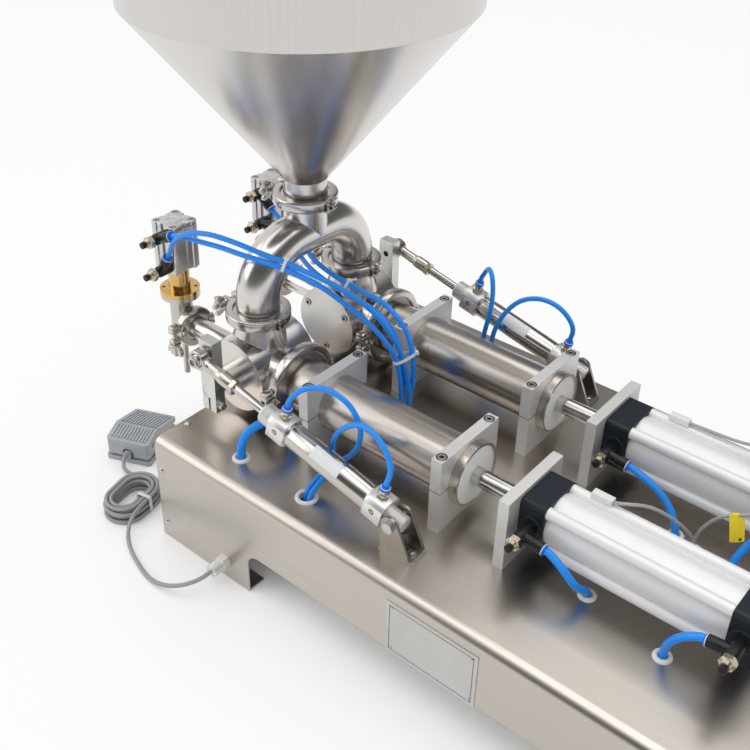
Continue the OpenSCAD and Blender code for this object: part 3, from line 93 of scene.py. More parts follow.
class Grain(Enum):
    """How a surface was worked: its marks per metre along X, Y and Z."""

    LENGTHWAYS = (5.0, 420.0, 420.0)
    CROSSWAYS = (420.0, 5.0, 420.0)
    UPRIGHT = (420.0, 420.0, 5.0)
    TURNED_X = (620.0, 9.0, 9.0)
    TURNED_Z = (9.0, 9.0, 620.0)
    EVEN = (800.0, 800.0, 800.0)
    MOULDED = (260.0, 260.0, 260.0)
    HAMMERED = (330.0, 330.0, 330.0)


@dataclass(frozen=True)
class Layout:
    """Places on the machine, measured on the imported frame, in metres."""

    end_x: float
    valve_x: float
    head_y: float
    axis_z: float
    base_h: float

    @classmethod
    def measured(cls) -> "Layout":
        """Reads the places from the boxes of the base, a piston rod and the manifold.

        Returns:
            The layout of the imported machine.
        """
        base_low, base_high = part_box("base_shell")
        rod_low, rod_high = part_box("far_piston_rod")
        pipe_low, pipe_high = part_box("manifold")
        return cls(
            end_x=base_low.x,
            valve_x=(pipe_low.x + pipe_high.x) / 2,
            head_y=(rod_low.y + rod_high.y) / 2,
            axis_z=(rod_low.z + rod_high.z) / 2,
            base_h=base_high.z,
        )

    def at(self, x: float, y: float, z: float) -> Vector:
        """A point in metres, given in millimetres from the base's nozzle end."""
        return Vector((self.end_x + x * MM, y * MM, z * MM))

    def on_head(self, side: Side, x: float, y: float, z: float) -> Vector:
        """A point in metres, given in millimetres from a head's valve axis, with y outwards."""
        outwards = side.value * (self.head_y + y * MM)
        return Vector((self.valve_x + x * MM, outwards, self.axis_z + z * MM))


LAYOUT = Layout.measured()


def pose(origin: Vector, along: Vector, aside: Vector) -> Matrix:
    """A local frame whose Z runs along one direction and whose X points aside.

    Args:
        origin: Where the frame stands, in metres.
        along: Direction of its Z axis.
        aside: Direction that its X axis leans to.

    Returns:
        The matrix that takes local metres to the shared frame.
    """
    z = along.normalized()
    x = (aside - z * aside.dot(z)).normalized()
    turn = Matrix((x, z.cross(x), z)).transposed().to_4x4()
    return Matrix.Translation(origin) @ turn


def shifted(stand: Matrix, x: float, y: float, z: float) -> Matrix:
    """A local frame moved within itself by millimetres."""
    return stand @ Matrix.Translation((x * MM, y * MM, z * MM))


def wheel(sides: int) -> list[Spot]:
    """Unit directions evenly round a circle."""
    angles = [2 * math.pi * k / sides for k in range(sides)]
    return [(math.cos(a), math.sin(a)) for a in angles]


def arc(middle: Spot, radius: float, start: float, sweep: float, steps: int) -> list[Spot]:
    """Points along an arc, both ends included, with its angles in degrees."""
    angles = [math.radians(start + sweep * k / steps) for k in range(steps + 1)]
    return [(middle[0] + radius * math.cos(a), middle[1] + radius * math.sin(a)) for a in angles]


def rounded_box(low: Spot, high: Spot, radius: float, steps: int) -> list[Spot]:
    """Outline of a box with round corners, anticlockwise from its high corner.

    Args:
        low: The box's low corner.
        high: Its high corner.
        radius: Radius of its corners.
        steps: Number of steps in each corner.

    Returns:
        The outline's points.
    """
    x0, y0 = low[0] + radius, low[1] + radius
    x1, y1 = high[0] - radius, high[1] - radius
    corners = enumerate(((x1, y1), (x0, y1), (x0, y0), (x1, y0)))
    return [point for k, corner in corners for point in arc(corner, radius, 90 * k, 90, steps)]


class Tree:
    """A node tree with short calls that add and join nodes."""

    def __init__(self, tree: bpy.types.NodeTree) -> None:
        """Takes the tree that the calls work on."""
        self.tree = tree

    def feed(self, node: bpy.types.Node, inputs: Inputs) -> None:
        """Gives a node's inputs their values, or joins them to sockets.

        Args:
            node: The node.
            inputs: Values or sockets, by input name or index.
        """
        for name, value in inputs.items():
            if isinstance(value, bpy.types.NodeSocket):
                self.tree.links.new(value, node.inputs[name])
            else:
                node.inputs[name].default_value = value

    def add(self, kind: str, inputs: Inputs | None = None, **settings: object) -> bpy.types.Node:
        """Adds one node.

        Args:
            kind: The node's type name.
            inputs: Values or sockets for its inputs, by input name or index.
            **settings: Properties of the node itself.

        Returns:
            The new node.
        """
        node = self.tree.nodes.new(kind)
        for name, value in settings.items():
            setattr(node, name, value)
        self.feed(node, inputs or {})
        return node

    def effect(self, group: bpy.types.NodeTree, inputs: Inputs) -> bpy.types.NodeOutputs:
        """Adds a shared effect and gives its outputs."""
        return self.add("ShaderNodeGroup", inputs, node_tree=group).outputs

    def mixed(self, share: Value, first: Value, second: Value) -> bpy.types.NodeSocket:
        """A colour between two colours, at a share of the second."""
        node = self.add("ShaderNodeMix", {0: share, 6: first, 7: second}, data_type="RGBA")
        return node.outputs[2]

    def ranged(self, value: Value, old: Spot, new: Spot = (0.0, 1.0)) -> bpy.types.NodeSocket:
        """A value moved from the old range to the new one."""
        ends = {1: old[0], 2: old[1], 3: new[0], 4: new[1]}
        return self.add("ShaderNodeMapRange", {0: value, **ends}).outputs[0]

    def math(self, operation: str, first: Value, second: Value) -> bpy.types.NodeSocket:
        """One sum of two values."""
        return self.add("ShaderNodeMath", {0: first, 1: second}, operation=operation).outputs[0]


class Effects:
    """Surface effects that several finishes share, each a node group built once."""

    NUMBER = "NodeSocketFloat"
    VECTOR = "NodeSocketVector"

    @staticmethod
    def _group(name: str, taken: dict[str, str], given: dict[str, str]) -> tuple[Tree, bpy.types.NodeOutputs]:
        """Starts a group with named sockets.

        Args:
            name: The group's name.
            taken: Socket type of each input.
            given: Socket type of each output.

        Returns:
            The tree helper and the sockets that bring the inputs.
        """
        tree = bpy.data.node_groups.new(name, "ShaderNodeTree")
        for way, sockets in (("INPUT", taken), ("OUTPUT", given)):
            for label, kind in sockets.items():
                tree.interface.new_socket(name=label, in_out=way, socket_type=kind)
        helper = Tree(tree)
        return helper, helper.add("NodeGroupInput").outputs

    @staticmethod
    def _place(t: Tree) -> bpy.types.NodeSocket:
        """The place on the object that a pattern is drawn from."""
        return t.add("ShaderNodeTexCoord").outputs["Object"]

    @classmethod
    @cache
    def grain(cls) -> bpy.types.NodeTree:
        """Fine marks of brushing, turning, blasting or moulding: Tone and Height.

        Returns:
            The node group.
        """
        given = {"Tone": cls.NUMBER, "Height": cls.NUMBER}
        t, taken = cls._group("worked grain", {"Marks": cls.VECTOR}, given)
        marks = {0: cls._place(t), 1: taken["Marks"]}
        stretched = t.add("ShaderNodeVectorMath", marks, operation="MULTIPLY").outputs[0]
        look = {"Vector": stretched, "Scale": 1.0, "Detail": 5.0, "Roughness": 0.62}
        noise = t.add("ShaderNodeTexNoise", look).outputs[0]
        t.add("NodeGroupOutput", {"Tone": t.ranged(noise, (0.3, 0.7)), "Height": noise})
        return t.tree

    @classmethod
    @cache
    def smudges(cls) -> bpy.types.NodeTree:
        """Broad uneven patches of handling and cleaning: Amount.

        Returns:
            The node group.
        """
        t, taken = cls._group("handling smudges", {"Patches": cls.NUMBER}, {"Amount": cls.NUMBER})
        look = {"Vector": cls._place(t), "Scale": taken["Patches"], "Detail": 2.0, "Roughness": 0.5}
        noise = t.add("ShaderNodeTexNoise", look).outputs[0]
        t.add("NodeGroupOutput", {"Amount": t.ranged(noise, (0.33, 0.68))})
        return t.tree

    @classmethod
    @cache
    def edges(cls) -> bpy.types.NodeTree:
        """Softened edges: Mask where edges are, which lightens them as wear and as a painted highlight, and
        the eased Normal.

        Returns:
            The node group.
        """
        given = {"Mask": cls.NUMBER, "Normal": cls.VECTOR}
        t, taken = cls._group("rubbed edges", {"Radius": cls.NUMBER}, given)
        eased_normal = t.add("ShaderNodeBevel", {"Radius": taken["Radius"]}, samples=4).outputs[0]
        plain = t.add("ShaderNodeNewGeometry").outputs["Normal"]
        alike = t.add("ShaderNodeVectorMath", {0: eased_normal, 1: plain}, operation="DOT_PRODUCT")
        mask = t.ranged(alike.outputs["Value"], (0.995, 0.9))
        t.add("NodeGroupOutput", {"Mask": mask, "Normal": eased_normal})
        return t.tree

    @classmethod
    @cache
    def specks(cls) -> bpy.types.NodeTree:
        """Sparse small specks and pits: Mask.

        Returns:
            The node group.
        """
        t, taken = cls._group("specks", {"Spread": cls.NUMBER}, {"Mask": cls.NUMBER})
        look = {"Vector": cls._place(t), "Scale": taken["Spread"], "Randomness": 1.0}
        cells = t.add("ShaderNodeTexVoronoi", look).outputs
        near = t.ranged(cells["Distance"], (0.05, 0.11), (1.0, 0.0))
        picked = t.math("GREATER_THAN", cells["Color"], 0.62)
        t.add("NodeGroupOutput", {"Mask": t.math("MULTIPLY", near, picked)})
        return t.tree


@dataclass(frozen=True)
class Finish:
    """One finish of the machine, as its colour, gloss and the marks it carries.

    Colours are linear. tone is how far the grain lightens and darkens the colour, uneven how far
    the gloss wanders, stain how far the patches pull the colour down. The field after stain sets how
    far edges lighten, partly as wear and partly as a painted highlight.
    """

    name: str
    colour: Point
    metallic: float = 0.0
    roughness: float = 0.4
    uneven: float = 0.06
    grain: Grain = Grain.EVEN
    tone: float = 0.06
    bump: float = 0.08
    patches: float = 14.0
    stain: float = 0.08
    rubbed: float = 0.35
    edge_mm: float = 0.6
    speck: float = 0.0
    coat: float = 0.0
    specular: float = 0.5
    SMUDGED: ClassVar[float] = 0.6
    SPECK_SPREAD: ClassVar[float] = 60.0
    SPECK_DARK: ClassVar[float] = 0.45
    # Pale colour of the lightened edges, partly wear and partly a painted highlight.
    RUB_KEEP: ClassVar[float] = 0.55
    RUB_LIFT: ClassVar[float] = 0.45
    LEAST_ROUGH: ClassVar[float] = 0.03
    BUMP_M: ClassVar[float] = 0.0004

    def _shade(self, share: float, lift: float = 0.0) -> Colour:
        """The finish's colour times a share, plus a lift, with its alpha."""
        return (*(min(1.0, c * share + lift) for c in self.colour), 1.0)

    def _tint(self, t: Tree, tone: Value, smudge: Value, edge: Value) -> Value:
        """The colour with grain, patches, specks, and edges lightened as wear and as a painted highlight.

        Args:
            t: The material's tree.
            tone: Socket of the grain's tone.
            smudge: Socket of the patches.
            edge: Socket of the edges' mask.

        Returns:
            The colour socket.
        """
        colour = t.mixed(tone, self._shade(1 - self.tone), self._shade(1 + self.tone))
        patch = t.math("MULTIPLY", smudge, self.SMUDGED)
        colour = t.mixed(patch, colour, self._shade(1 - self.stain))
        if self.speck:
            mask = t.effect(Effects.specks(), {"Spread": self.SPECK_SPREAD})["Mask"]
            spot = t.math("MULTIPLY", mask, self.speck)
            colour = t.mixed(spot, colour, self._shade(self.SPECK_DARK))
        # Edges lighten towards a pale colour: partly wear, partly a painted highlight.
        wear_and_glint = t.math("MULTIPLY", edge, self.rubbed)
        return t.mixed(wear_and_glint, colour, self._shade(self.RUB_KEEP, self.RUB_LIFT))

    def material(self) -> bpy.types.Material:
        """The finish as a node material, built once.

        Returns:
            The material.
        """
        label = f"{self.name}_finish"
        known = bpy.data.materials.get(label)
        if known:
            return known
        made = bpy.data.materials.new(label)
        made.use_nodes = True
        made.diffuse_color = self._shade(1.0)
        t = Tree(made.node_tree)
        grain = t.effect(Effects.grain(), {"Marks": self.grain.value})
        smudge = t.effect(Effects.smudges(), {"Patches": self.patches})["Amount"]
        edges = t.effect(Effects.edges(), {"Radius": self.edge_mm * MM})
        relief = {"Strength": self.bump, "Distance": self.BUMP_M}
        relief |= {"Height": grain["Height"], "Normal": edges["Normal"]}
        smooth = max(self.LEAST_ROUGH, self.roughness - self.uneven)
        look = {
            "Metallic": self.metallic,
            "Coat Weight": self.coat,
            "Specular IOR Level": self.specular,
            "Base Color": self._tint(t, grain["Tone"], smudge, edges["Mask"]),
            "Roughness": t.ranged(smudge, (0.0, 1.0), (smooth, self.roughness + self.uneven)),
            "Normal": t.add("ShaderNodeBump", relief).outputs[0],
        }
        t.feed(made.node_tree.nodes["Principled BSDF"], look)
        return made


class Finishes:
    """The finishes of this machine.

    A row gives name, colour, metal, roughness and unevenness, then the grain and the rest of the
    finish's fields in order.
    """

    BASE = Finish("base_brushed_steel", (0.57, 0.53, 0.485), 1.0, 0.29, 0.025,
        Grain.LENGTHWAYS, 0.06, 0.02, 5.0, 0.05, 0.12, 1.0)
    PANEL = Finish("panel_steel", (0.55, 0.515, 0.475), 1.0, 0.31, 0.04,
        Grain.CROSSWAYS, 0.06, 0.06, 6.0, 0.08, 0.35, 0.8)
    SCREW = Finish("screw_steel", (0.60, 0.59, 0.57), 1.0, 0.28, 0.08,
        Grain.EVEN, 0.08, 0.06, 60.0, 0.25)
    DARK_SCREW = Finish("dark_screw_steel", (0.11, 0.11, 0.115), 0.9, 0.36, 0.08,
        Grain.EVEN, 0.1, 0.08, 60.0, 0.2, 0.4, 0.3)
    RUBBER = Finish("white_rubber", (0.80, 0.79, 0.74), 0.0, 0.5, 0.08,
        Grain.MOULDED, 0.04, 0.06, 40.0, 0.1, 0.1)
    PLATE = Finish("plate_metal", (0.60, 0.59, 0.575), 0.7, 0.4, 0.05,
        Grain.LENGTHWAYS, 0.05, 0.06, 25.0, 0.06, 0.3, 0.4)
    VALVE_BLOCK = Finish("valve_block_metal", (0.16, 0.165, 0.18), 0.4, 0.45, 0.08,
        Grain.EVEN, 0.08, 0.1)
    CASE = Finish("control_case_plastic", (0.07, 0.07, 0.075), 0.0, 0.5, 0.08,
        Grain.MOULDED, 0.05, 0.1)
    BRASS = Finish("brass", (0.72, 0.49, 0.19), 1.0, 0.19, 0.06,
        Grain.TURNED_Z, 0.1, 0.05, 60.0, 0.14, 0.3, 0.5)
    NICKEL = Finish("nickel_brass", (0.66, 0.58, 0.46), 1.0, 0.2, 0.06,
        Grain.EVEN, 0.06, 0.04, 90.0, 0.18, 0.4, 0.3)
    BLOCK = Finish("block_aluminium", (0.78, 0.77, 0.755), 0.5, 0.42, 0.05,
        Grain.CROSSWAYS, 0.06, 0.06, 22.0, 0.06, 0.7, 0.9, 0.1)
    CAP = Finish("dark_cap", (0.013, 0.0185, 0.027), 0.0, 0.44, 0.05,
        Grain.EVEN, 0.12, 0.08, 30.0, 0.15, 0.12, 1.2, specular=0.28)
    BARREL = Finish("barrel_aluminium", (0.83, 0.83, 0.825), 0.3, 0.56, 0.03,
        Grain.LENGTHWAYS, 0.03, 0.01, 12.0, 0.03, 0.25, 0.6)
    BRONZE = Finish("bush_bronze", (0.60, 0.42, 0.22), 1.0, 0.34, 0.06,
        Grain.TURNED_X, 0.08, 0.08)
    BLACK = Finish("black_plastic", (0.012, 0.013, 0.014), 0.0, 0.32, 0.08,
        Grain.MOULDED, 0.15, 0.08, 60.0, 0.2, 0.08, 0.4, specular=0.35)
    SWITCH = Finish("switch_plastic", (0.78, 0.78, 0.76), 0.0, 0.42, 0.06,
        Grain.MOULDED, 0.04, 0.05, 60.0, 0.08, 0.2, 0.4)
    PRODUCT = Finish("product_steel", (0.71, 0.685, 0.66), 1.0, 0.22, 0.02,
        Grain.EVEN, 0.03, 0.02, 6.0, 0.04, 0.35, 0.8)
    HOPPER = Finish("hopper_steel", (0.68, 0.655, 0.635), 1.0, 0.25, 0.02,
        Grain.UPRIGHT, 0.04, 0.02, 5.0, 0.04, 0.3, 1.0)
    FILL = Finish("fill_tube_steel", (0.53, 0.49, 0.45), 1.0, 0.27, 0.02,
        Grain.LENGTHWAYS, 0.09, 0.03, 8.0, 0.04, 0.35, 0.6)
    NOZZLE = Finish("nozzle_steel", (0.60, 0.57, 0.54), 1.0, 0.26, 0.05,
        Grain.TURNED_Z, 0.07, 0.05, 20.0, 0.1, 0.4, 0.5)
    WHITE = Finish("white_guide_plastic", (0.93, 0.93, 0.92), 0.0, 0.4, 0.05,
        Grain.TURNED_X, 0.03, 0.05, 30.0, 0.04, 0.1)
    CHROME = Finish("rod_chrome", (0.63, 0.615, 0.60), 1.0, 0.14, 0.04,
        Grain.TURNED_X, 0.04, 0.02, 30.0, 0.06, 0.3, 0.3)
    PISTON = Finish("piston_metal", (0.70, 0.69, 0.68), 1.0, 0.3, 0.06,
        Grain.TURNED_X, 0.06, 0.06)
    CLAMP = Finish("clamp_steel", (0.60, 0.57, 0.535), 1.0, 0.2, 0.05,
        Grain.EVEN, 0.06, 0.05, 26.0, 0.1, 0.55, 0.7)
    BRACKET = Finish("bracket_steel", (0.43, 0.40, 0.37), 1.0, 0.3, 0.05,
        Grain.UPRIGHT, 0.07, 0.06, 30.0, 0.12, 0.5, 0.7)
    DARK_STEEL = Finish("hinge_dark_steel", (0.20, 0.185, 0.17), 1.0, 0.34, 0.1,
        Grain.EVEN, 0.1, 0.1, 40.0, 0.25, 0.4, 0.5)
    GASKET = Finish("gasket_rubber", (0.78, 0.77, 0.74), 0.0, 0.5, 0.06,
        Grain.MOULDED, 0.05, 0.05)
    END_BLOCK = Finish("cast_end_block", (0.80, 0.80, 0.79), 0.75, 0.42, 0.06,
        Grain.EVEN, 0.05, 0.16, 40.0, 0.1, 0.35, 0.7)
    AIR_TUBE = Finish("polished_air_tube", (0.60, 0.575, 0.545), 1.0, 0.2, 0.04,
        Grain.LENGTHWAYS, 0.04, 0.03, 20.0, 0.08, 0.3, 0.4)
    ZINC = Finish("zinc_rod_end", (0.62, 0.60, 0.55), 1.0, 0.27, 0.07,
        Grain.EVEN, 0.06, 0.07, 60.0, 0.16, 0.45, 0.5)
    LEVER = Finish("lever_aluminium", (0.72, 0.71, 0.69), 1.0, 0.34, 0.07,
        Grain.UPRIGHT, 0.08, 0.1, 30.0, 0.12, 0.5, 0.7, 0.3)
    COMPACT = Finish("compact_cylinder_aluminium", (0.66, 0.66, 0.66), 0.9, 0.32, 0.05,
        Grain.UPRIGHT, 0.06, 0.06, 30.0, 0.1, 0.4, 0.5)
    PEDAL = Finish("pedal_paint", (0.43, 0.455, 0.485), 0.1, 0.4, 0.07,
        Grain.HAMMERED, 0.06, 0.2, 30.0, 0.16, 0.35, 0.6, 0.0, 0.15)
    HOSE = Finish("blue_hose", (0.018, 0.30, 1.0), 0.0, 0.3, 0.05,
        Grain.MOULDED, 0.06, 0.04, 18.0, 0.12, 0.0, 0.3, specular=0.35)
    COLLAR = Finish("blue_collar", (0.010, 0.16, 0.80), 0.0, 0.33, 0.05,
        Grain.MOULDED, 0.05, 0.04, 60.0, 0.1, 0.15, 0.2, specular=0.35)
    LEAD = Finish("grey_lead", (0.40, 0.39, 0.38), 0.0, 0.45, 0.06,
        Grain.MOULDED, 0.06, 0.06, 40.0, 0.12, 0.0)
    CORD = Finish("grey_cord", (0.36, 0.365, 0.37), 0.0, 0.48, 0.06,
        Grain.MOULDED, 0.06, 0.08, 30.0, 0.14, 0.0)
    GLAND = Finish("gland_metal", (0.84, 0.83, 0.81), 0.25, 0.3, 0.06,
        Grain.EVEN, 0.05, 0.05, 60.0, 0.14, 0.45, 0.5)
    NYLON = Finish("white_nylon", (0.80, 0.80, 0.78), 0.0, 0.36, 0.06,
        Grain.MOULDED, 0.04, 0.05, 60.0, 0.06, 0.15, 0.2)
    TAG = Finish("yellow_tag", (0.90, 0.71, 0.02), 0.0, 0.42, 0.06,
        Grain.MOULDED, 0.05, 0.06, 60.0, 0.08, 0.1, 0.2)
    LABEL = Finish("blank_label", (0.82, 0.82, 0.81), 0.0, 0.34, 0.05,
        Grain.MOULDED, 0.02, 0.02, 40.0, 0.05, 0.0, 0.1)
    # Near-black painted shade for holes, bores, slots and screw recesses, and the colour of dark seam lines.
    HOLLOW = Finish("dark_hollow", (0.012, 0.012, 0.013), 0.0, 0.6, 0.06,
        Grain.MOULDED, 0.1, 0.05, 60.0, 0.1, 0.0)


def eased(profile: Profile, radius: float, steps: int = 4) -> list[Spot]:
    """A turned profile with its corners rounded.

    Args:
        profile: Radius and height of each corner.
        radius: Largest radius of a corner.
        steps: Points in each rounded corner.

    Returns:
        The profile with an arc in place of each inner corner.
    """
    points = [Vector(p) for p in profile]
    result = [tuple(points[0])]
    for before, corner, after in zip(points, points[1:], points[2:]):
        first, second = before - corner, after - corner
        reach = min(radius, first.length * 0.45, second.length * 0.45)
        if reach < 1e-6:
            result.append(tuple(corner))
            continue
        a, b = corner + first.normalized() * reach, corner + second.normalized() * reach
        for i in range(steps + 1):
            k = i / steps
            result.append(tuple(a * (1 - k) ** 2 + corner * 2 * k * (1 - k) + b * k * k))
    result.append(tuple(points[-1]))
    return result


class Form:
    """A piece in the making: turned, swept and milled shapes, each with its finish."""

    POINT_R: ClassVar[float] = 1e-4
    HEX_STEPS: ClassVar[int] = 6
    CHAMFER: ClassVar[float] = 0.58
    STEEP: ClassVar[float] = 0.9

    def __init__(self, name: str) -> None:
        """Starts an empty piece.

        Args:
            name: The piece's name.
        """
        self.name = name
        self.mesh = bmesh.new()
        self.finishes: list[Finish] = []

    def _index(self, finish: Finish) -> int:
        """The material slot of a finish in this piece.

        Args:
            finish: The finish, which gets a slot if it has none.

        Returns:
            The slot.
        """
        if finish not in self.finishes:
            self.finishes.append(finish)
        return self.finishes.index(finish)

    def _vert(self, at: Matrix, x: float, y: float, z: float) -> bmesh.types.BMVert:
        """A new vertex at a local place in millimetres."""
        return self.mesh.verts.new(at @ Vector((x * MM, y * MM, z * MM)))

    def _skin(self, rings: list[Ring], finish: Finish, capped: bool) -> None:
        """Faces between rings of vertices.

        Args:
            rings: Rings of equal length, or of one vertex at a point.
            finish: Finish of the faces.
            capped: Whether the first and the last ring are closed.
        """
        slot = self._index(finish)
        made = []
        for low, high in zip(rings, rings[1:]):
            count = max(len(low), len(high))
            for k in range(count):
                n = (k + 1) % count
                below = [low[k % len(low)], low[n % len(low)]]
                above = [high[n % len(high)], high[k % len(high)]]
                unique = list(dict.fromkeys(below + above))
                if len(unique) > 2:
                    made.append(self.mesh.faces.new(unique))
        if capped:
            made += [self.mesh.faces.new(ring) for ring in (rings[0], rings[-1]) if len(ring) > 2]
        for face in made:
            face.material_index = slot

    def turned(self, profile: Profile, at: Matrix, finish: Finish, sides: int = 40, cap: bool = True) -> None:
        """A shape turned round the local Z axis.

        Args:
            profile: Radius and height of each corner, in millimetres.
            at: Local frame.
            finish: Finish of the shape.
            sides: Corners of each ring.
            cap: Whether open ends are closed.
        """
        rings = []
        for r, z in profile:
            around = wheel(sides) if r >= self.POINT_R else [(0.0, 0.0)]
            rings.append([self._vert(at, r * c, r * s, z) for c, s in around])
        self._skin(rings, finish, cap)

    def disc(
        self, r: float, low: float, high: float, at: Matrix, finish: Finish, ease: float, sides: int
    ) -> None:
        """A disc or pin with eased rims."""
        self.turned(eased([(0, low), (r, low), (r, high), (0, high)], ease), at, finish, sides)

    def hexed(self, r: float, low: float, high: float, at: Matrix, finish: Finish, bore: float = 0.0) -> None:
        """A hexagon nut with chamfered corners.

        Args:
            r: Radius to its corners.
            low: Height of its lower face.
            high: Height of its upper face.
            at: Local frame.
            finish: Finish of the nut.
            bore: Radius of a sunk hole in its upper face, if any.
        """
        inside = r * math.cos(math.pi / 6) * 0.95
        corners = [Vector((math.cos(k * math.pi / 3), math.sin(k * math.pi / 3))) * r for k in range(7)]
        outline = []
        for a, b in zip(corners, corners[1:]):
            outline += [a.lerp(b, i / self.HEX_STEPS) for i in range(self.HEX_STEPS)]
        levels = [(low, 0.0, inside), (low, self.CHAMFER, 0.0)]
        levels += [(high, -self.CHAMFER, 0.0), (high, 0.0, inside)]
        if bore:
            levels += [(high, 0.0, bore), ((low + high) / 2, 0.0, bore * 0.97)]
        self._skin([self._hex_ring(outline, at, *level) for level in levels], finish, True)

    def _hex_ring(self, outline: list[Vector], at: Matrix, height: float, slope: float, reach: float) -> Ring:
        """One ring of a hexagon nut.

        Args:
            outline: Points of the hexagon, from a corner on.
            at: Local frame.
            height: Height of the ring where the chamfer leaves it.
            slope: How the height changes towards the corners.
            reach: Radius of a round ring, or 0 for the hexagon.

        Returns:
            The ring's vertices.
        """
        flat = outline[0].length * math.cos(math.pi / 6) * 0.97
        ring = []
        for p in outline:
            q = p.normalized() * reach if reach else p
            ring.append(self._vert(at, q.x, q.y, height + slope * max(0.0, p.length - flat)))
        return ring

    def arched(
        self, section: Profile, start: float, end: float, at: Matrix, finish: Finish, steps: int
    ) -> None:
        """A section swept part of the way round the local Z axis.

        Args:
            section: Radius and height of each corner of the closed section.
            start: Angle in degrees where it starts.
            end: Angle in degrees where it ends.
            at: Local frame.
            finish: Finish of the shape.
            steps: Number of steps round.
        """
        turns = arc((0, 0), 1, start, end - start, steps)
        rings = [[self._vert(at, r * c, r * s, z) for r, z in section] for c, s in turns]
        self._skin(rings, finish, True)

    def wrapped(self, edge: Profile, low: float, high: float, at: Matrix, finish: Finish) -> None:
        """A thin open sheet that follows a line and stands upright on it.

        Args:
            edge: Points of the line, in the local XY plane.
            low: Height of its lower edge.
            high: Height of its upper edge.
            at: Local frame.
            finish: Finish of the sheet.
        """
        below, above = ([self._vert(at, x, y, z) for x, y in edge] for z in (low, high))
        slot = self._index(finish)
        for a, b, c, d in zip(below, below[1:], above[1:], above):
            self.mesh.faces.new((a, b, c, d)).material_index = slot

    def slab(
        self, outline: Profile, low: float, high: float, at: Matrix, finish: Finish, ease: float
    ) -> None:
        """A plate of any outline with eased edges.

        Args:
            outline: Corners in order, in the local XY plane.
            low: Height of its lower face.
            high: Height of its upper face.
            at: Local frame.
            finish: Finish of the plate.
            ease: Width of the eased edges.
        """
        points = [Vector(p) for p in outline]
        ahead = points[1:] + points[:1]
        sense = 1 if sum(p.cross(q) for p, q in zip(points, ahead)) > 0 else -1
        inner = []
        for before, p, after in zip(points[-1:] + points, points, ahead):
            a, b = (p - before).normalized(), (after - p).normalized()
            na, nb = Vector((-a.y, a.x)) * sense, Vector((-b.y, b.x)) * sense
            inner.append((na + nb) / max(0.4, 1 + na.dot(nb)))
        rim = ((0.0, 1.0), (ease * 0.3, 0.3), (ease, 0.0))
        levels = [(low + rise, inset) for rise, inset in rim]
        levels += [(high - rise, inset) for rise, inset in reversed(rim)]
        rings = []
        for height, inset in levels:
            step = ease * inset
            ring = [(p.x + v.x * step, p.y + v.y * step) for p, v in zip(points, inner)]
            rings.append([self._vert(at, x, y, height) for x, y in ring])
        self._skin(rings, finish, True)

    def block(self, low: Point, high: Point, at: Matrix, finish: Finish, ease: float) -> None:
        """A block with rounded edges.

        Args:
            low: Lowest corner in the local frame.
            high: Highest corner.
            at: Local frame.
            finish: Finish of the block.
            ease: Radius of its edges.
        """
        part = bmesh.new()
        bmesh.ops.create_cube(part, size=1.0)
        size = Vector(high) - Vector(low)
        middle = (Vector(high) + Vector(low)) / 2
        place = at @ Matrix.Translation(middle * MM) @ Matrix.Diagonal((*(size * MM), 1.0))
        bmesh.ops.transform(part, matrix=place, verts=part.verts)
        edges = list(part.edges)
        bmesh.ops.bevel(part, geom=edges, offset=ease * MM, segments=3, profile=0.5, affect="EDGES")
        slot = self._index(finish)
        for face in part.faces:
            face.material_index = slot
        kept = bpy.data.meshes.new("part")
        part.to_mesh(kept)
        part.free()
        self.mesh.from_mesh(kept)
        bpy.data.meshes.remove(kept)

    def tube(
        self, path: Sequence[Vector], radius: float, finish: Finish, sides: int, flat: float = 1.0
    ) -> None:
        """A round or flattened tube along a path.

        Args:
            path: Points in metres.
            radius: Its radius.
            finish: Finish of the tube.
            sides: Corners of each ring.
            flat: Share of the radius across the ring's second direction.
        """
        rings, aside = [], None
        for before, p, after in zip([path[0], *path], path, [*path[1:], path[-1]]):
            along = (after - before).normalized()
            if aside is None:
                aside = UP if abs(along.z) < self.STEEP else REAR
            aside = (aside - along * aside.dot(along)).normalized()
            other = along.cross(aside) * flat
            around = [p + (aside * c + other * s) * radius * MM for c, s in wheel(sides)]
            rings.append([self.mesh.verts.new(q) for q in around])
        self._skin(rings, finish, True)

    def strap(
        self, loop: Sequence[Vector], across: Vector, width: float, thick: float, finish: Finish
    ) -> None:
        """A flat band that closes on itself.

        Args:
            loop: Points of the band's middle line in metres, in order.
            across: Direction of its width.
            width: Its width.
            thick: Its thickness.
            finish: Finish of the band.
        """
        rings = []
        wide = across.normalized() * width * MM / 2
        for before, p, after in zip([loop[-1], *loop], loop, [*loop[1:], loop[0]]):
            along = (after - before).normalized()
            out = along.cross(across).normalized() * thick * MM / 2
            corners = (p - wide - out, p + wide - out, p + wide + out, p - wide + out)
            rings.append([self.mesh.verts.new(q) for q in corners])
        self._skin(rings + [rings[0]], finish, False)

    def done(self, body: str | None, slot: str, *nodes: str, sharp: float = 34.0) -> bpy.types.Object:
        """Finishes the piece and hangs it on its body.

        Args:
            body: The body that it rides on, or None where it bends between two.
            slot: The record's material slot; not used.
            *nodes: Solids that it stands for.
            sharp: Angle in degrees above which an edge stays sharp.

        Returns:
            The finished object.
        """
        bmesh.ops.recalc_face_normals(self.mesh, faces=list(self.mesh.faces))
        data = bpy.data.meshes.new(self.name)
        self.mesh.to_mesh(data)
        self.mesh.free()
        for finish in self.finishes:
            data.materials.append(finish.material())
        data.polygons.foreach_set("use_smooth", [True] * len(data.polygons))
        data.set_sharp_from_angle(angle=math.radians(sharp))
        made = bpy.data.objects.new(self.name, data)
        bpy.context.scene.collection.objects.link(made)
        if body:
            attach(made, body)
        if nodes:
            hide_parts(*nodes)
        LOG.info("piece %s on %s, %d faces", self.name, body or "two bodies", len(data.polygons))
        return made


LINE_STEP = 2.5 * MM
SPAN_STEPS = 24
SIDEWAYS = Matrix.Rotation(math.pi / 2, 4, "X")


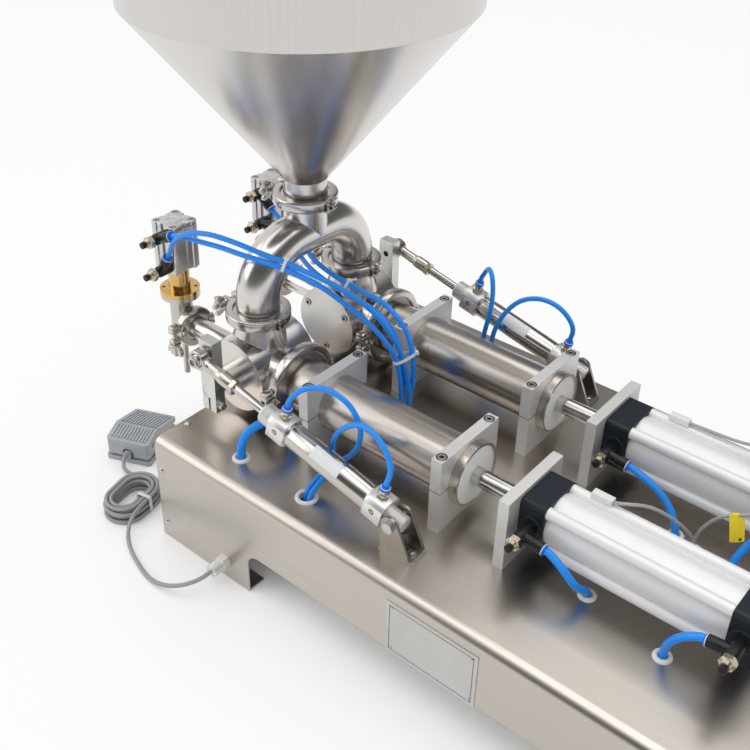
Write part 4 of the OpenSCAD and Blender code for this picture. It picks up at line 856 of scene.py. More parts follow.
def rounded(points: Sequence[Vector], rounds: int = 18) -> list[Vector]:
    """A smooth line through chosen points, evenly stepped and eased at tight bends.

    Args:
        points: Chosen points in metres.
        rounds: How often the bends are eased.

    Returns:
        The new points; the ends and their directions stay.
    """
    dense: list[Vector] = []
    for a, b, c, d in zip([points[0], *points], points, points[1:], [*points[2:], points[-1]]):
        for j in range(SPAN_STEPS):
            k = j / SPAN_STEPS
            square, cube = 2 * a - 5 * b + 4 * c - d, 3 * b - a - 3 * c + d
            dense.append(0.5 * (2 * b + (c - a) * k + square * k * k + cube * k ** 3))
    dense.append(points[-1])
    length = path_length(dense)
    count = max(8, round(length / LINE_STEP))
    even, walked, target = [dense[0].copy()], 0.0, length / count
    for p, q in zip(dense, dense[1:]):
        piece = (q - p).length
        while piece > 1e-12 and walked + piece >= target * len(even) and len(even) < count:
            even.append(p.lerp(q, (target * len(even) - walked) / piece))
        walked += piece
    even.append(dense[-1].copy())
    for _ in range(rounds):
        inside = range(3, len(even) - 3)
        eased_part = [even[i] * 0.5 + (even[i - 1] + even[i + 1]) * 0.25 for i in inside]
        even = even[:3] + eased_part + even[-3:]
    return even


def path_length(path: Sequence[Vector]) -> float:
    """Length of a line of points in metres."""
    return sum((q - p).length for p, q in zip(path, path[1:]))


def beside(line: Sequence[Vector], place: Vector) -> tuple[Vector, Vector]:
    """The point of a line closest to a place, away from its ends, and the direction there."""
    i = min(range(2, len(line) - 2), key=lambda k: (line[k] - place).length)
    return line[i], (line[i + 2] - line[i - 2]).normalized()


@dataclass(frozen=True)
class AirLine:
    """Frame of one valve cylinder: its clevis pin and the direction of its rod."""

    pin: Vector
    along: Vector

    @classmethod
    def of(cls, side: Side) -> "AirLine":
        """Reads the line of a side's cylinder from the record's joints.

        Args:
            side: The head.

        Returns:
            The line.
        """
        joints = {joint["name"]: joint for joint in frame["joints"]}
        swing = joints[f"{side.word}_cylinder_swing"]
        slide = joints[f"{side.word}_rod_slide"]
        return cls(Vector(swing["pos_m"]), Vector(slide["axis"]).normalized())

    @property
    def up(self) -> Vector:
        """The direction square to the cylinder that its ports face."""
        square = FARWARD.cross(self.along)
        return -square if square.z < 0 else square

    def at(self, along: float, up: float) -> Vector:
        """A point given in millimetres along the cylinder and above it."""
        return self.pin + (self.along * along + self.up * up) * MM

    def stand(self) -> Matrix:
        """The local frame with Z along the cylinder and X up."""
        return pose(self.pin, self.along, self.up)


@dataclass(frozen=True)
class Port:
    """A speed control fitting's seat: where its thread starts and how its arm turns."""

    seat: Vector
    arm_deg: float

    @property
    def arm(self) -> Vector:
        """Direction of the arm that takes the hose."""
        a = math.radians(self.arm_deg)
        return Vector((math.cos(a), 0, -math.sin(a)))

    def mouth(self, reach: float) -> Vector:
        """A point on the arm's axis, at a reach in millimetres from the fitting's axis."""
        return self.seat + self.arm * reach * MM - FARWARD * Ports.ARM_OUT * MM


class Ports:
    """Seats of the eight speed control fittings.

    A cap has the place of its fitting along the cylinder and the angle of the fitting's arm.
    """

    ARM_OUT = 14.0
    ARM_REACH = 26.0
    CAP_HALF = 29.0
    FRONT_CAP = (398.0, 8.0)
    REAR_CAP = (614.0, 172.0)
    COMPACT_HALF = 20.0
    COMPACT_X = -126.0
    UPPER_Z = 133.0
    LOWER_Z = 90.0
    UPPER_ARMS = {Side.NEAR: -25.0, Side.FAR: 35.0}
    LOWER_ARMS = {Side.NEAR: -60.0, Side.FAR: -10.0}

    @classmethod
    def drive(cls, side: Side, rear: bool) -> Port:
        """A drive cylinder's fitting, at its front or its rear cap."""
        x, arm = cls.REAR_CAP if rear else cls.FRONT_CAP
        return Port(LAYOUT.on_head(side, x, 0, 0) - FARWARD * cls.CAP_HALF * MM, arm)

    @classmethod
    def compact(cls, side: Side, lower: bool) -> Port:
        """A nozzle cylinder's fitting.

        Args:
            side: The head.
            lower: Whether it is the lower one or the upper one.

        Returns:
            The fitting's seat.
        """
        z, arms = (cls.LOWER_Z, cls.LOWER_ARMS) if lower else (cls.UPPER_Z, cls.UPPER_ARMS)
        seat = LAYOUT.on_head(side, cls.COMPACT_X, 0, z) - FARWARD * cls.COMPACT_HALF * MM
        return Port(seat, arms[side])

    @classmethod
    def all(cls) -> list[Port]:
        """Every fitting's seat."""
        kinds = (cls.drive, cls.compact)
        return [kind(side, second) for side in Side for kind in kinds for second in (False, True)]


@dataclass
class Camera:
    """The photograph's viewpoint: place in millimetres, turns in degrees."""

    place: Point = (793.85, -798.98, 912.11)
    yaw: float = 39.196
    pitch: float = 32.479
    roll: float = -1.321
    lens: float = 50.70
    sensor: float = 36.0
    shift_y: float = -0.0685
    nearest_m: float = 0.02

    def build(self) -> None:
        """Makes the camera and gives it to the scene."""
        a, e, r = (math.radians(v) for v in (self.yaw, self.pitch, self.roll))
        right = Vector((math.cos(a), math.sin(a), 0))
        ahead = Vector((-math.sin(a), math.cos(a), 0))
        forward = ahead * math.cos(e) - UP * math.sin(e)
        over = ahead * math.sin(e) + UP * math.cos(e)
        x = right * math.cos(r) - over * math.sin(r)
        y = right * math.sin(r) + over * math.cos(r)
        data = bpy.data.cameras.new("photo_camera")
        data.lens = self.lens
        data.sensor_width = self.sensor
        data.shift_y = self.shift_y
        data.clip_start = self.nearest_m
        camera = bpy.data.objects.new("photo_camera", data)
        turn = Matrix((x, y, -forward)).transposed().to_4x4()
        camera.matrix_world = Matrix.Translation(LAYOUT.at(*self.place)) @ turn
        bpy.context.scene.collection.objects.link(camera)
        bpy.context.scene.camera = camera


@dataclass(frozen=True)
class Lamp:
    """A square soft lamp: its place, aim and size in metres, and its watts."""

    name: str
    place: Point
    aim: Point
    size: float
    watts: float

    def build(self) -> None:
        """Makes the lamp and turns it to its aim."""
        data = bpy.data.lights.new(self.name, "AREA")
        data.shape = "SQUARE"
        data.size = self.size
        data.energy = self.watts
        lamp = bpy.data.objects.new(self.name, data)
        way = Vector(self.aim) - Vector(self.place)
        turn = way.to_track_quat("-Z", "Y").to_matrix().to_4x4()
        lamp.matrix_world = Matrix.Translation(Vector(self.place)) @ turn
        bpy.context.scene.collection.objects.link(lamp)


@dataclass
class Studio:
    """Pale floor, soft lamps and a pale surround that metal mirrors.

    The surround's levels give its brightness by height above the floor's plane, and its window is
    a bright part on the nozzle end's side.
    """

    floor_half: float = 14.0
    floor_drop: float = 0.0006
    floor_colour: Point = (0.86, 0.86, 0.855)
    floor_gloss: float = 0.7
    glow: Colour = (1.0, 1.0, 0.995, 1.0)
    lift: float = 0.86
    # Reach, samples and range of the painted contact shadow on the floor.
    shade_reach: float = 0.22
    shade_samples: int = 8
    shade_range: Spot = (0.15, 0.95)
    fill: float = 0.62
    window: float = 0.85
    window_x: Spot = (-0.40, -0.68)
    levels: Profile = ((0.03, 0.86), (0.11, 0.16), (0.58, 0.09), (0.72, 0.30), (0.86, 0.96))
    level_tint: Point = (1.0, 0.99, 0.98)
    window_tint: Point = (1.0, 0.99, 0.97)
    lamps: tuple[Lamp, ...] = (
        Lamp("top_softbox", (0.0, 0.1, 2.4), (0.0, 0.0, 0.1), 3.0, 30.0),
        Lamp("side_softbox", (-1.9, -1.5, 1.5), (0.0, 0.0, 0.2), 1.8, 14.0),
    )

    def build(self) -> None:
        """Makes the floor, the surround and the lamps."""
        self._floor()
        self._surround()
        for lamp in self.lamps:
            lamp.build()

    def _seen(self, t: Tree) -> bpy.types.NodeSocket:
        """Whether a ray is one that shows the backdrop: from the camera, a mirror or glass.

        Args:
            t: The tree that asks.

        Returns:
            The socket, 1 for such a ray.
        """
        path = t.add("ShaderNodeLightPath").outputs
        shown = t.math("MAXIMUM", path["Is Camera Ray"], path["Is Glossy Ray"])
        return t.math("MAXIMUM", shown, path["Is Transmission Ray"])

    def _floor(self) -> None:
        """A pale floor that keeps the machine's shadow, with a painted contact shadow near the machine."""
        mesh = bpy.data.meshes.new("floor")
        h = self.floor_half
        mesh.from_pydata([(-h, -h, 0), (h, -h, 0), (h, h, 0), (-h, h, 0)], [], [(0, 1, 2, 3)])
        floor = bpy.data.objects.new("floor", mesh)
        floor.location.z = -self.floor_drop
        bpy.context.scene.collection.objects.link(floor)
        made = bpy.data.materials.new("floor_paper")
        made.use_nodes = True
        t = Tree(made.node_tree)
        paper = made.node_tree.nodes["Principled BSDF"]
        t.feed(paper, {"Base Color": (*self.floor_colour, 1.0), "Roughness": self.floor_gloss})
        glow = t.add("ShaderNodeEmission", {"Color": self.glow, "Strength": 1.0})
        # Ambient occlusion fades the floor's glow near the machine, which paints a contact shadow.
        near = t.add("ShaderNodeAmbientOcclusion", {"Distance": self.shade_reach}, samples=self.shade_samples)
        glow_outside_painted_shadow = t.ranged(near.outputs["AO"], self.shade_range, (0.0, self.lift))
        share = t.math("MULTIPLY", self._seen(t), glow_outside_painted_shadow)
        mix = t.add("ShaderNodeMixShader", {0: share, 1: paper.outputs[0], 2: glow.outputs[0]})
        t.feed(made.node_tree.nodes["Material Output"], {"Surface": mix.outputs[0]})
        mesh.materials.append(made)

    def _surround(self) -> None:
        """A pale room for camera and mirror rays, and a plain fill light for the rest."""
        world = bpy.data.worlds.new("pale_room")
        bpy.context.scene.world = world
        world.use_nodes = True
        t = Tree(world.node_tree)
        place = t.add("ShaderNodeTexCoord").outputs["Generated"]
        parts = t.add("ShaderNodeSeparateXYZ", {0: place}).outputs
        ramp = t.add("ShaderNodeValToRGB", {0: parts["Z"]})
        ramp.color_ramp.interpolation = "EASE"
        points = ramp.color_ramp.elements
        while len(points) < len(self.levels):
            points.new(0.5)
        for point, (where, level) in zip(points, self.levels):
            point.position = where
            point.color = (*(level * tint for tint in self.level_tint), 1.0)
        bright = (*(self.window * tint for tint in self.window_tint), 1.0)
        room = t.mixed(t.ranged(parts["X"], self.window_x), ramp.outputs[0], bright)
        shown = t.mixed(self._seen(t), (self.fill, self.fill, self.fill, 1.0), room)
        t.feed(world.node_tree.nodes["Background"], {"Strength": 1.0, "Color": shown})


@dataclass(frozen=True)
class Hose:
    """One hose or lead: its name, thickness, first points and the points that follow."""

    name: str
    diameter: float
    starts: tuple[Vector, ...]
    points: tuple[Point, ...]
    node: str
    slot: str = "blue_hose"
    finish: Finish = Finishes.HOSE
    swings_with: Side | None = None
    STIFF_ABOVE: ClassVar[float] = 5.0
    SIDES: ClassVar[int] = 18

    def build(self) -> list[Vector]:
        """Returns:
            The line that it follows, in metres.
        """
        line = rounded([*self.starts, *(LAYOUT.at(*p) for p in self.points)])
        form = Form(self.name)
        form.tube(line, self.diameter / 2, self.finish, self.SIDES)
        made = form.done(None if self.swings_with else "root", self.slot, self.node)
        if self.swings_with:
            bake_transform(made)
        return line


@dataclass
class Hoses:
    """All the air hoses and sensor leads, and the ties and tag on them."""

    thin: float = 6.0
    thick: float = 8.0
    supply: float = 10.0
    lead: float = 3.5
    air_mouth: float = 31.3
    port_s: Spot = (23.6, 160.6)
    straight: float = 8.0
    switch: Point = (491.0, 4.25, 228.75)
    tie_size: Spot = (3.4, 1.1)
    tie_slack: float = 0.75
    tie_steps: int = 64
    lines: dict[str, list[Vector]] = field(default_factory=dict)

    def _from_air(self, side: Side, front: bool) -> tuple[Vector, Vector]:
        """The first two points of a valve cylinder's hose.

        Args:
            side: The head.
            front: Whether it is the front port or the rear one.

        Returns:
            The port's mouth and the end of the straight run.
        """
        line = AirLine.of(side)
        s = self.port_s[1 if front else 0]
        return line.at(s, self.air_mouth), line.at(s, self.air_mouth + self.straight)

    def _from_port(self, port: Port) -> tuple[Vector, Vector]:
        """The first two points of a hose in a speed control fitting."""
        return port.mouth(Ports.ARM_REACH), port.mouth(Ports.ARM_REACH + self.straight)

    def _at_switch(self, side: Side) -> Vector:
        """Where a lead enters its reed switch.

        Args:
            side: The head.

        Returns:
            The point in metres.
        """
        x, inwards, z = self.switch
        low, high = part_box("reed_switches")
        place = LAYOUT.at(x, 0, z)
        place.y = (high if side is Side.FAR else low).y - side.value * inwards * MM
        return place

    def _routes(self) -> list[Hose]:
        """Every hose and lead with its chosen points.

        Returns:
            The hoses in order.
        """
        near, far = Side.NEAR, Side.FAR
        valve = [
            ("near_front_hose", near, True, (
                (178, -172, 267), (192, -167, 279), (213, -160, 283), (236, -154, 273), (248, -150, 250),
                (245, -147, 222), (230, -145, 196), (214, -146, 180), (203, -156, 166), (198, -169, 156),
                (196, -177, 146), (196, -178, 132))),
            ("near_rear_hose", near, False, (
                (308, -172, 235), (301, -169, 250), (284, -166, 263), (262, -163, 265), (241, -161, 251),
                (223, -158, 230), (215, -155, 207), (213, -152, 187), (210, -160, 169), (206, -174, 157),
                (204, -182, 146), (204, -182, 132))),
            ("far_front_hose", far, True, (
                (178, 172, 266), (186, 165, 277), (197, 156, 276), (204, 150, 262), (206, 147, 240),
                (203, 146, 216), (198, 148, 193), (195, 156, 174), (195, 168, 160), (196, 177, 148),
                (196, 178, 132))),
            ("far_rear_hose", far, False, (
                (308, 172, 235), (302, 168, 250), (288, 163, 264), (266, 158, 268), (242, 153, 258),
                (224, 149, 234), (213, 148, 206), (208, 152, 183), (206, 164, 166), (204, 178, 154),
                (204, 182, 144), (204, 182, 132))),
        ]
        nozzle = [
            ("near_upper_hose", near, False, (
                (-36, -117, 350), (-13, -117, 353), (15, -115, 356), (42, -112, 356), (68, -104, 354),
                (90, -93, 348), (107, -83, 340), (124, -73, 331), (142, -58, 312), (159, -44, 292),
                (174, -30, 269), (184, -20, 246), (188, -12, 222), (190, -8, 190), (190, -6, 158),
                (190, -6, 132))),
            ("near_lower_hose", near, True, (
                (-67, -119, 327), (-58, -123, 338), (-46, -125, 350), (-30, -126, 361), (-10, -125, 369),
                (12, -121, 372), (42, -113, 369), (66, -103, 362), (88, -91, 355), (106, -81, 347),
                (130, -68, 337), (149, -53, 322), (164, -39, 305), (177, -25, 280), (186, -13, 252),
                (192, -6, 225), (196, -1, 190), (196, 1, 158), (196, 1, 132))),
            ("far_upper_hose", far, False, (
                (-46, 46, 303), (-24, 39, 299), (6, 25, 299), (40, 12, 294), (80, 6, 290), (120, 2, 290),
                (155, 2, 286), (182, 3, 268), (194, 6, 234), (195, 8, 194), (190, 7, 158), (190, 7, 132))),
            ("far_lower_hose", far, True, (
                (-40, 45, 292), (-20, 37, 288), (6, 19, 288), (42, 4, 286), (80, -1, 282), (120, -5, 281),
                (152, -5, 276), (174, -4, 258), (185, -2, 228), (187, 0, 192), (184, 0, 158),
                (184, 0, 132))),
        ]
        drive = [
            ("near_drive_hose", near, False, (
                (484, -127, 183), (494, -126, 172), (499, -118, 162), (500, -109, 156), (500, -104, 149),
                (500, -104, 130))),
            ("far_drive_hose", far, False, (
                (492, 38, 184), (509, 36, 174), (521, 31, 162), (527, 28, 150), (527, 28, 130))),
            ("far_back_hose", far, True, (
                (603, 35, 184), (597, 26, 173), (593, 15, 162), (592, 10, 151), (592, 10, 130))),
            ("near_back_hose", near, True, (
                (603, -127, 184), (595, -127, 172), (591, -125, 161), (590, -124, 150), (590, -124, 130))),
        ]
        leads = [
            ("near_sensor_lead", near, (
                (553, 19, 130), (553, 19, 150), (550, 12, 168), (543, 0, 186), (535, -18, 206),
                (526, -34, 222), (516, -48, 232), (504, -57, 232))),
            ("far_sensor_lead", far, (
                (549, 22, 130), (549, 22, 150), (551, 20, 168), (557, 19, 184), (566, 19, 199),
                (578, 20, 210), (592, 23, 216), (606, 32, 222), (612, 47, 232), (606, 64, 242),
                (588, 82, 246), (563, 97, 241), (543, 104, 232))),
        ]
        supply = (
            (100, -180, 132), (100, -180, 152), (100, -179, 164), (101, -174, 174), (106, -167, 182),
            (112, -159, 188), (118, -150, 190), (123, -141, 187), (126, -133, 179), (127, -126, 167),
            (126, -122, 153), (126, -122, 132))
        result = [
            Hose(
                name, self.thin, self._from_air(side, front), points, f"{side.word}_valve_hoses",
                swings_with=side,
            )
            for name, side, front, points in valve
        ]
        kinds = ((nozzle, self.thin, Ports.compact), (drive, self.thick, Ports.drive))
        for rows, size, seat in kinds:
            for name, side, second, points in rows:
                result.append(Hose(name, size, self._from_port(seat(side, second)), points, "hoses"))
        result.append(Hose("supply_hose", self.supply, (), supply, "hoses"))
        for name, side, points in leads:
            course = (*(LAYOUT.at(*p) for p in points), self._at_switch(side))
            result.append(Hose(name, self.lead, course, (), "sensor_leads", "grey_lead", Finishes.LEAD))
        return result

    def build(self) -> None:
        """Makes the hoses and leads and keeps their lines."""
        for hose in self._routes():
            self.lines[hose.name] = hose.build()

    def dress(self) -> None:
        """Adds the cable ties and the blank tag."""
        near, far = ([f"{side.word}_{row}_hose" for row in ("upper", "lower")] for side in Side)
        self._tie("near_pair_tie", near, LAYOUT.at(89, -92, 351))
        self._tie("far_pair_tie", far, LAYOUT.at(98, 1, 286))
        self._tie("centre_bundle_tie", near + far, LAYOUT.at(191, -2, 232))
        self._tag("lead_tag", self.lines["far_sensor_lead"], LAYOUT.at(582, 21, 212))

    def _tie(self, name: str, hoses: list[str], near: Vector) -> None:
        """A white cable tie round several hoses.

        Args:
            name: The piece's name.
            hoses: The thin hoses that it holds.
            near: A point close to where it sits.
        """
        found = [beside(self.lines[hose], near) for hose in hoses]
        along = sum((way for _, way in found), Vector()).normalized()
        middle = sum((spot for spot, _ in found), Vector()) / len(found)
        flat = pose(middle, along, UP if abs(along.z) < 0.8 else FARWARD)
        inverse = flat.inverted()
        local = [inverse @ spot for spot, _ in found]
        ways = wheel(self.tie_steps)
        room = (self.thin / 2 + self.tie_slack) * MM
        reach = [max(p.x * c + p.y * s for p in local) + room for c, s in ways]
        ring = []
        for k, (c, s) in enumerate(ways):
            turn = (reach[(k + 1) % self.tie_steps] - reach[k - 1]) / (4 * math.pi / self.tie_steps)
            ring.append(flat @ Vector((c * reach[k] - s * turn, s * reach[k] + c * turn, 0)))
        form = Form(name)
        form.strap(ring, along, *self.tie_size, Finishes.NYLON)
        top = max(ring, key=lambda p: p.z)
        out = (top - middle).normalized()
        form.block((-2.4, -2.6, -0.2), (2.4, 2.6, 3.4), pose(top, out, along), Finishes.NYLON, 0.5)
        off = out.cross(along)
        tail = [top + (out * (1.6 + 0.25 * i) + off * (2.4 + 1.6 * i)) * MM for i in range(7)]
        form.tube(tail, 1.5, Finishes.NYLON, 8, 0.36)
        form.done("root", "white_plastic")

    def _tag(self, name: str, line: list[Vector], near: Vector) -> None:
        """A blank tag hanging on a lead.

        Args:
            name: The piece's name.
            line: The lead's line.
            near: A point close to where it hangs.
        """
        spot, along = beside(line, near)
        face = Vector((0.55, -0.75, 0.35)).normalized()
        lean = Vector((0.12, 0.0, -1.0))
        down = (lean - face * lean.dot(face)).normalized()
        stand = pose(spot + down * 12.5 * MM + face * 2.4 * MM, face, down)
        form = Form(name)
        outline = rounded_box((-14.3, -7.3), (14.3, 7.3), 1.8, 4)
        form.slab(outline, -0.35, 0.35, stand, Finishes.TAG, 0.15)
        # A near-black disc paints the shade of the tag's hole.
        form.disc(1.5, 0.35, 0.62, shifted(stand, 11.5, 3.0, 0), Finishes.HOLLOW, 0.1, 20)
        collar = pose(spot - along * 3 * MM, along, UP)
        form.turned(eased([(1.8, 0), (2.35, 0), (2.35, 6.0), (1.8, 6.0)], 0.2), collar, Finishes.TAG, 24)
        form.done("root", "brass")


@dataclass
class PedalCord:
    """The grey cord from the gland to the foot pedal, with its tied hank.

    ex and ey are the hank's directions across and along it. The pedal's place and yaw are those of
    its solids.
    """

    diameter: float = 5.0
    clear: float = 0.05
    loops: int = 2
    layers: int = 4
    run: float = 12.0
    pitch: float = 5.8
    end_radius: float = 26.6
    middle: Spot = (-69.0, -216.0)
    ex: Spot = (0.975, 0.222)
    ey: Spot = (0.222, -0.975)
    steps: int = 40
    stub: float = 8.0
    easing: int = 10
    pedal_yaw: float = 23.0
    pedal_place: Spot = (-153.32, -128.0)
    pedal_exit: Spot = (46.0, 13.0)
    pedal_end: tuple[Point, ...] = (
        (-132, -178, 12), (-124, -185, 7), (-110, -182, 3), (-93, -172, 3), (-77, -169, 3), (-62, -172, 3),
        (-52, -181, 3), (-47, -193, 3),
    )
    gland_end: tuple[Point, ...] = (
        (-38, -232, 19), (-33, -246, 15), (-22, -260, 9), (-4, -271, 4), (22, -280, 3), (46, -286, 3),
        (68, -286, 7), (88, -281, 14), (102, -271, 20), (108, -259, 22), (109, -252, 23), (109, -244.5, 23),
    )

    def _oval(self, share: float, r: float) -> Spot:
        """A point of one loop of the hank.

        Args:
            share: How far round the loop, from 0 to 1.
            r: Radius of the loop's ends.

        Returns:
            The point across and along the hank.
        """
        half = math.pi * r
        s = share * (4 * self.run + 2 * half)
        if s < self.run:
            return r, s
        if s < self.run + half:
            a = (s - self.run) / r
            return r * math.cos(a), self.run + r * math.sin(a)
        if s < 3 * self.run + half:
            return -r, 2 * self.run + half - s
        if s < 3 * self.run + 2 * half:
            a = (s - 3 * self.run) / r
            return r * math.cos(a), -self.run + r * math.sin(a)
        return r, s - 4 * self.run - 2 * half

    def _hank_point(self, t: float) -> Vector:
        """A point of the hank, whose loops run in and out layer by layer.

        Args:
            t: How many loops lie before it.

        Returns:
            The point in metres.
        """
        inward = t % (2 * self.loops)
        fold = min(inward, 2 * self.loops - inward)
        k = math.floor(t / self.loops + 0.5)
        if k <= 0:
            climb = 0.0
        elif k >= self.layers:
            climb = self.layers - 1.0
        else:
            climb = k - 1 + min(1.0, max(0.0, 2 * (t - k * self.loops) + 0.5))
        across, along = self._oval(t - math.floor(t), self.end_radius - self.pitch * fold)
        x, y = (o + across * a + along * b for o, a, b in zip(self.middle, self.ex, self.ey))
        return LAYOUT.at(x, y, self.diameter / 2 + self.clear + self.pitch * climb)

    def build(self) -> None:
        """Makes the cord from the pedal through the hank to the gland, and the hank's tie."""
        count = self.loops * self.layers * self.steps
        hank = [self._hank_point(i / self.steps) for i in range(count + 1)]
        lead_in = hank[0] - (hank[1] - hank[0]).normalized() * self.stub * MM
        lead_out = hank[-1] + (hank[-1] - hank[-2]).normalized() * self.stub * MM
        yaw, (reach, height) = math.radians(self.pedal_yaw), self.pedal_exit
        x, y = self.pedal_place
        mouth = (x + reach * math.sin(yaw), y - reach * math.cos(yaw), height)
        start = [LAYOUT.at(*p) for p in (mouth, *self.pedal_end)]
        end = [LAYOUT.at(*p) for p in self.gland_end]
        first = rounded([*start, lead_in, hank[0]], self.easing)
        last = rounded([hank[-1], lead_out, *end], self.easing)
        line = first[:-1] + hank + last[1:]
        floor = (self.diameter / 2 + self.clear) * MM
        for p in line:
            p.z = max(p.z, floor)
        form = Form("pedal_cord_line")
        form.tube(line, self.diameter / 2, Finishes.CORD, 14)
        cord = form.done("root", "grey_cord", "pedal_cord", "cord_hank")
        tie = self._tie()

    def _tie(self) -> bpy.types.Object:
        """The band that holds the hank's runs on one side.

        Returns:
            The band.
        """
        form = Form("hank_tie")
        across, out = Vector((*self.ey, 0)), Vector((*self.ex, 0))
        middle = LAYOUT.at(*self.middle, 0) + out * (self.end_radius - self.pitch) * MM
        high = self.diameter + (self.layers - 1) * self.pitch + 0.9
        wide = self.pitch + self.diameter / 2 + 1.0
        outline = rounded_box((-wide, 0.25), (wide, high), 2.0, 5)
        loop = [middle + out * x * MM + UP * z * MM for x, z in outline]
        form.strap(loop, across, 5.0, 0.5, Finishes.NYLON)
        return form.done("root", "white_plastic")


@dataclass
class SpeedControls:
    """The black speed control fittings on the drive and nozzle cylinders."""

    body_r: float = 7.0
    body_l: float = 26.0
    hex_l: float = 6.0
    arm_r: float = 6.5

    def build(self) -> None:
        """Makes the eight fittings."""
        form = Form("speed_controls")
        for port in Ports.all():
            self._one(form, port)
        form.done("root", "black_plastic", "air_fittings")

    def _one(self, form: Form, port: Port) -> None:
        """One fitting: threaded foot, body, hexagon, needle knob, arm and release collar.

        Args:
            form: The piece that takes it.
            port: Where it sits.
        """
        foot = pose(port.seat, -FARWARD, port.arm)
        r, top = self.body_r, self.body_l
        waist = r - 0.9
        form.disc(5.4, -1, 1.4, foot, Finishes.NICKEL, 0.3, 32)
        body = [(0, 1.0), (r - 0.6, 1.0), (r, 2.2), (r, top - 6.5)]
        body += [(waist, top - 5.6), (waist, top - 1), (0, top - 1)]
        form.turned(eased(body, 0.7), foot, Finishes.BLACK, 40)
        form.hexed(r + 1.2, top - 1.2, top + self.hex_l - 1.0, foot, Finishes.NICKEL)
        head = shifted(foot, 0, 0, top)
        stem = [(0, 4), (5.3, 4), (5.3, 6.4), (4.5, 6.8), (4.5, 7.6), (5.0, 8.0), (5.0, 8.8), (0, 8.8)]
        form.turned(eased(stem, 0.25), head, Finishes.NICKEL, 32)
        knob = [(0, 8.6), (3.772, 8.8), (4.1, 9.3), (4.1, 13.4), (3.362, 14.0), (0, 14.0)]
        form.turned(knob, head, Finishes.BLACK, 18)
        arm = pose(port.mouth(0), port.arm, -FARWARD)
        a = self.arm_r
        sleeve = [(0, 0), (a - 0.4, 0), (a - 0.4, 12.0), (a, 13.2), (a, 24.6), (0, 24.6)]
        form.turned(eased(sleeve, 0.8), arm, Finishes.BLACK, 40)
        form.disc(a - 0.2, 24.4, 25.3, arm, Finishes.NYLON, 0.25, 36)
        collar = [(0, 25.2), (a - 0.7, 25.2), (a - 0.7, 26.8), (4.4, 27.0), (0, 27.0)]
        form.turned(eased(collar, 0.35), arm, Finishes.COLLAR, 36)


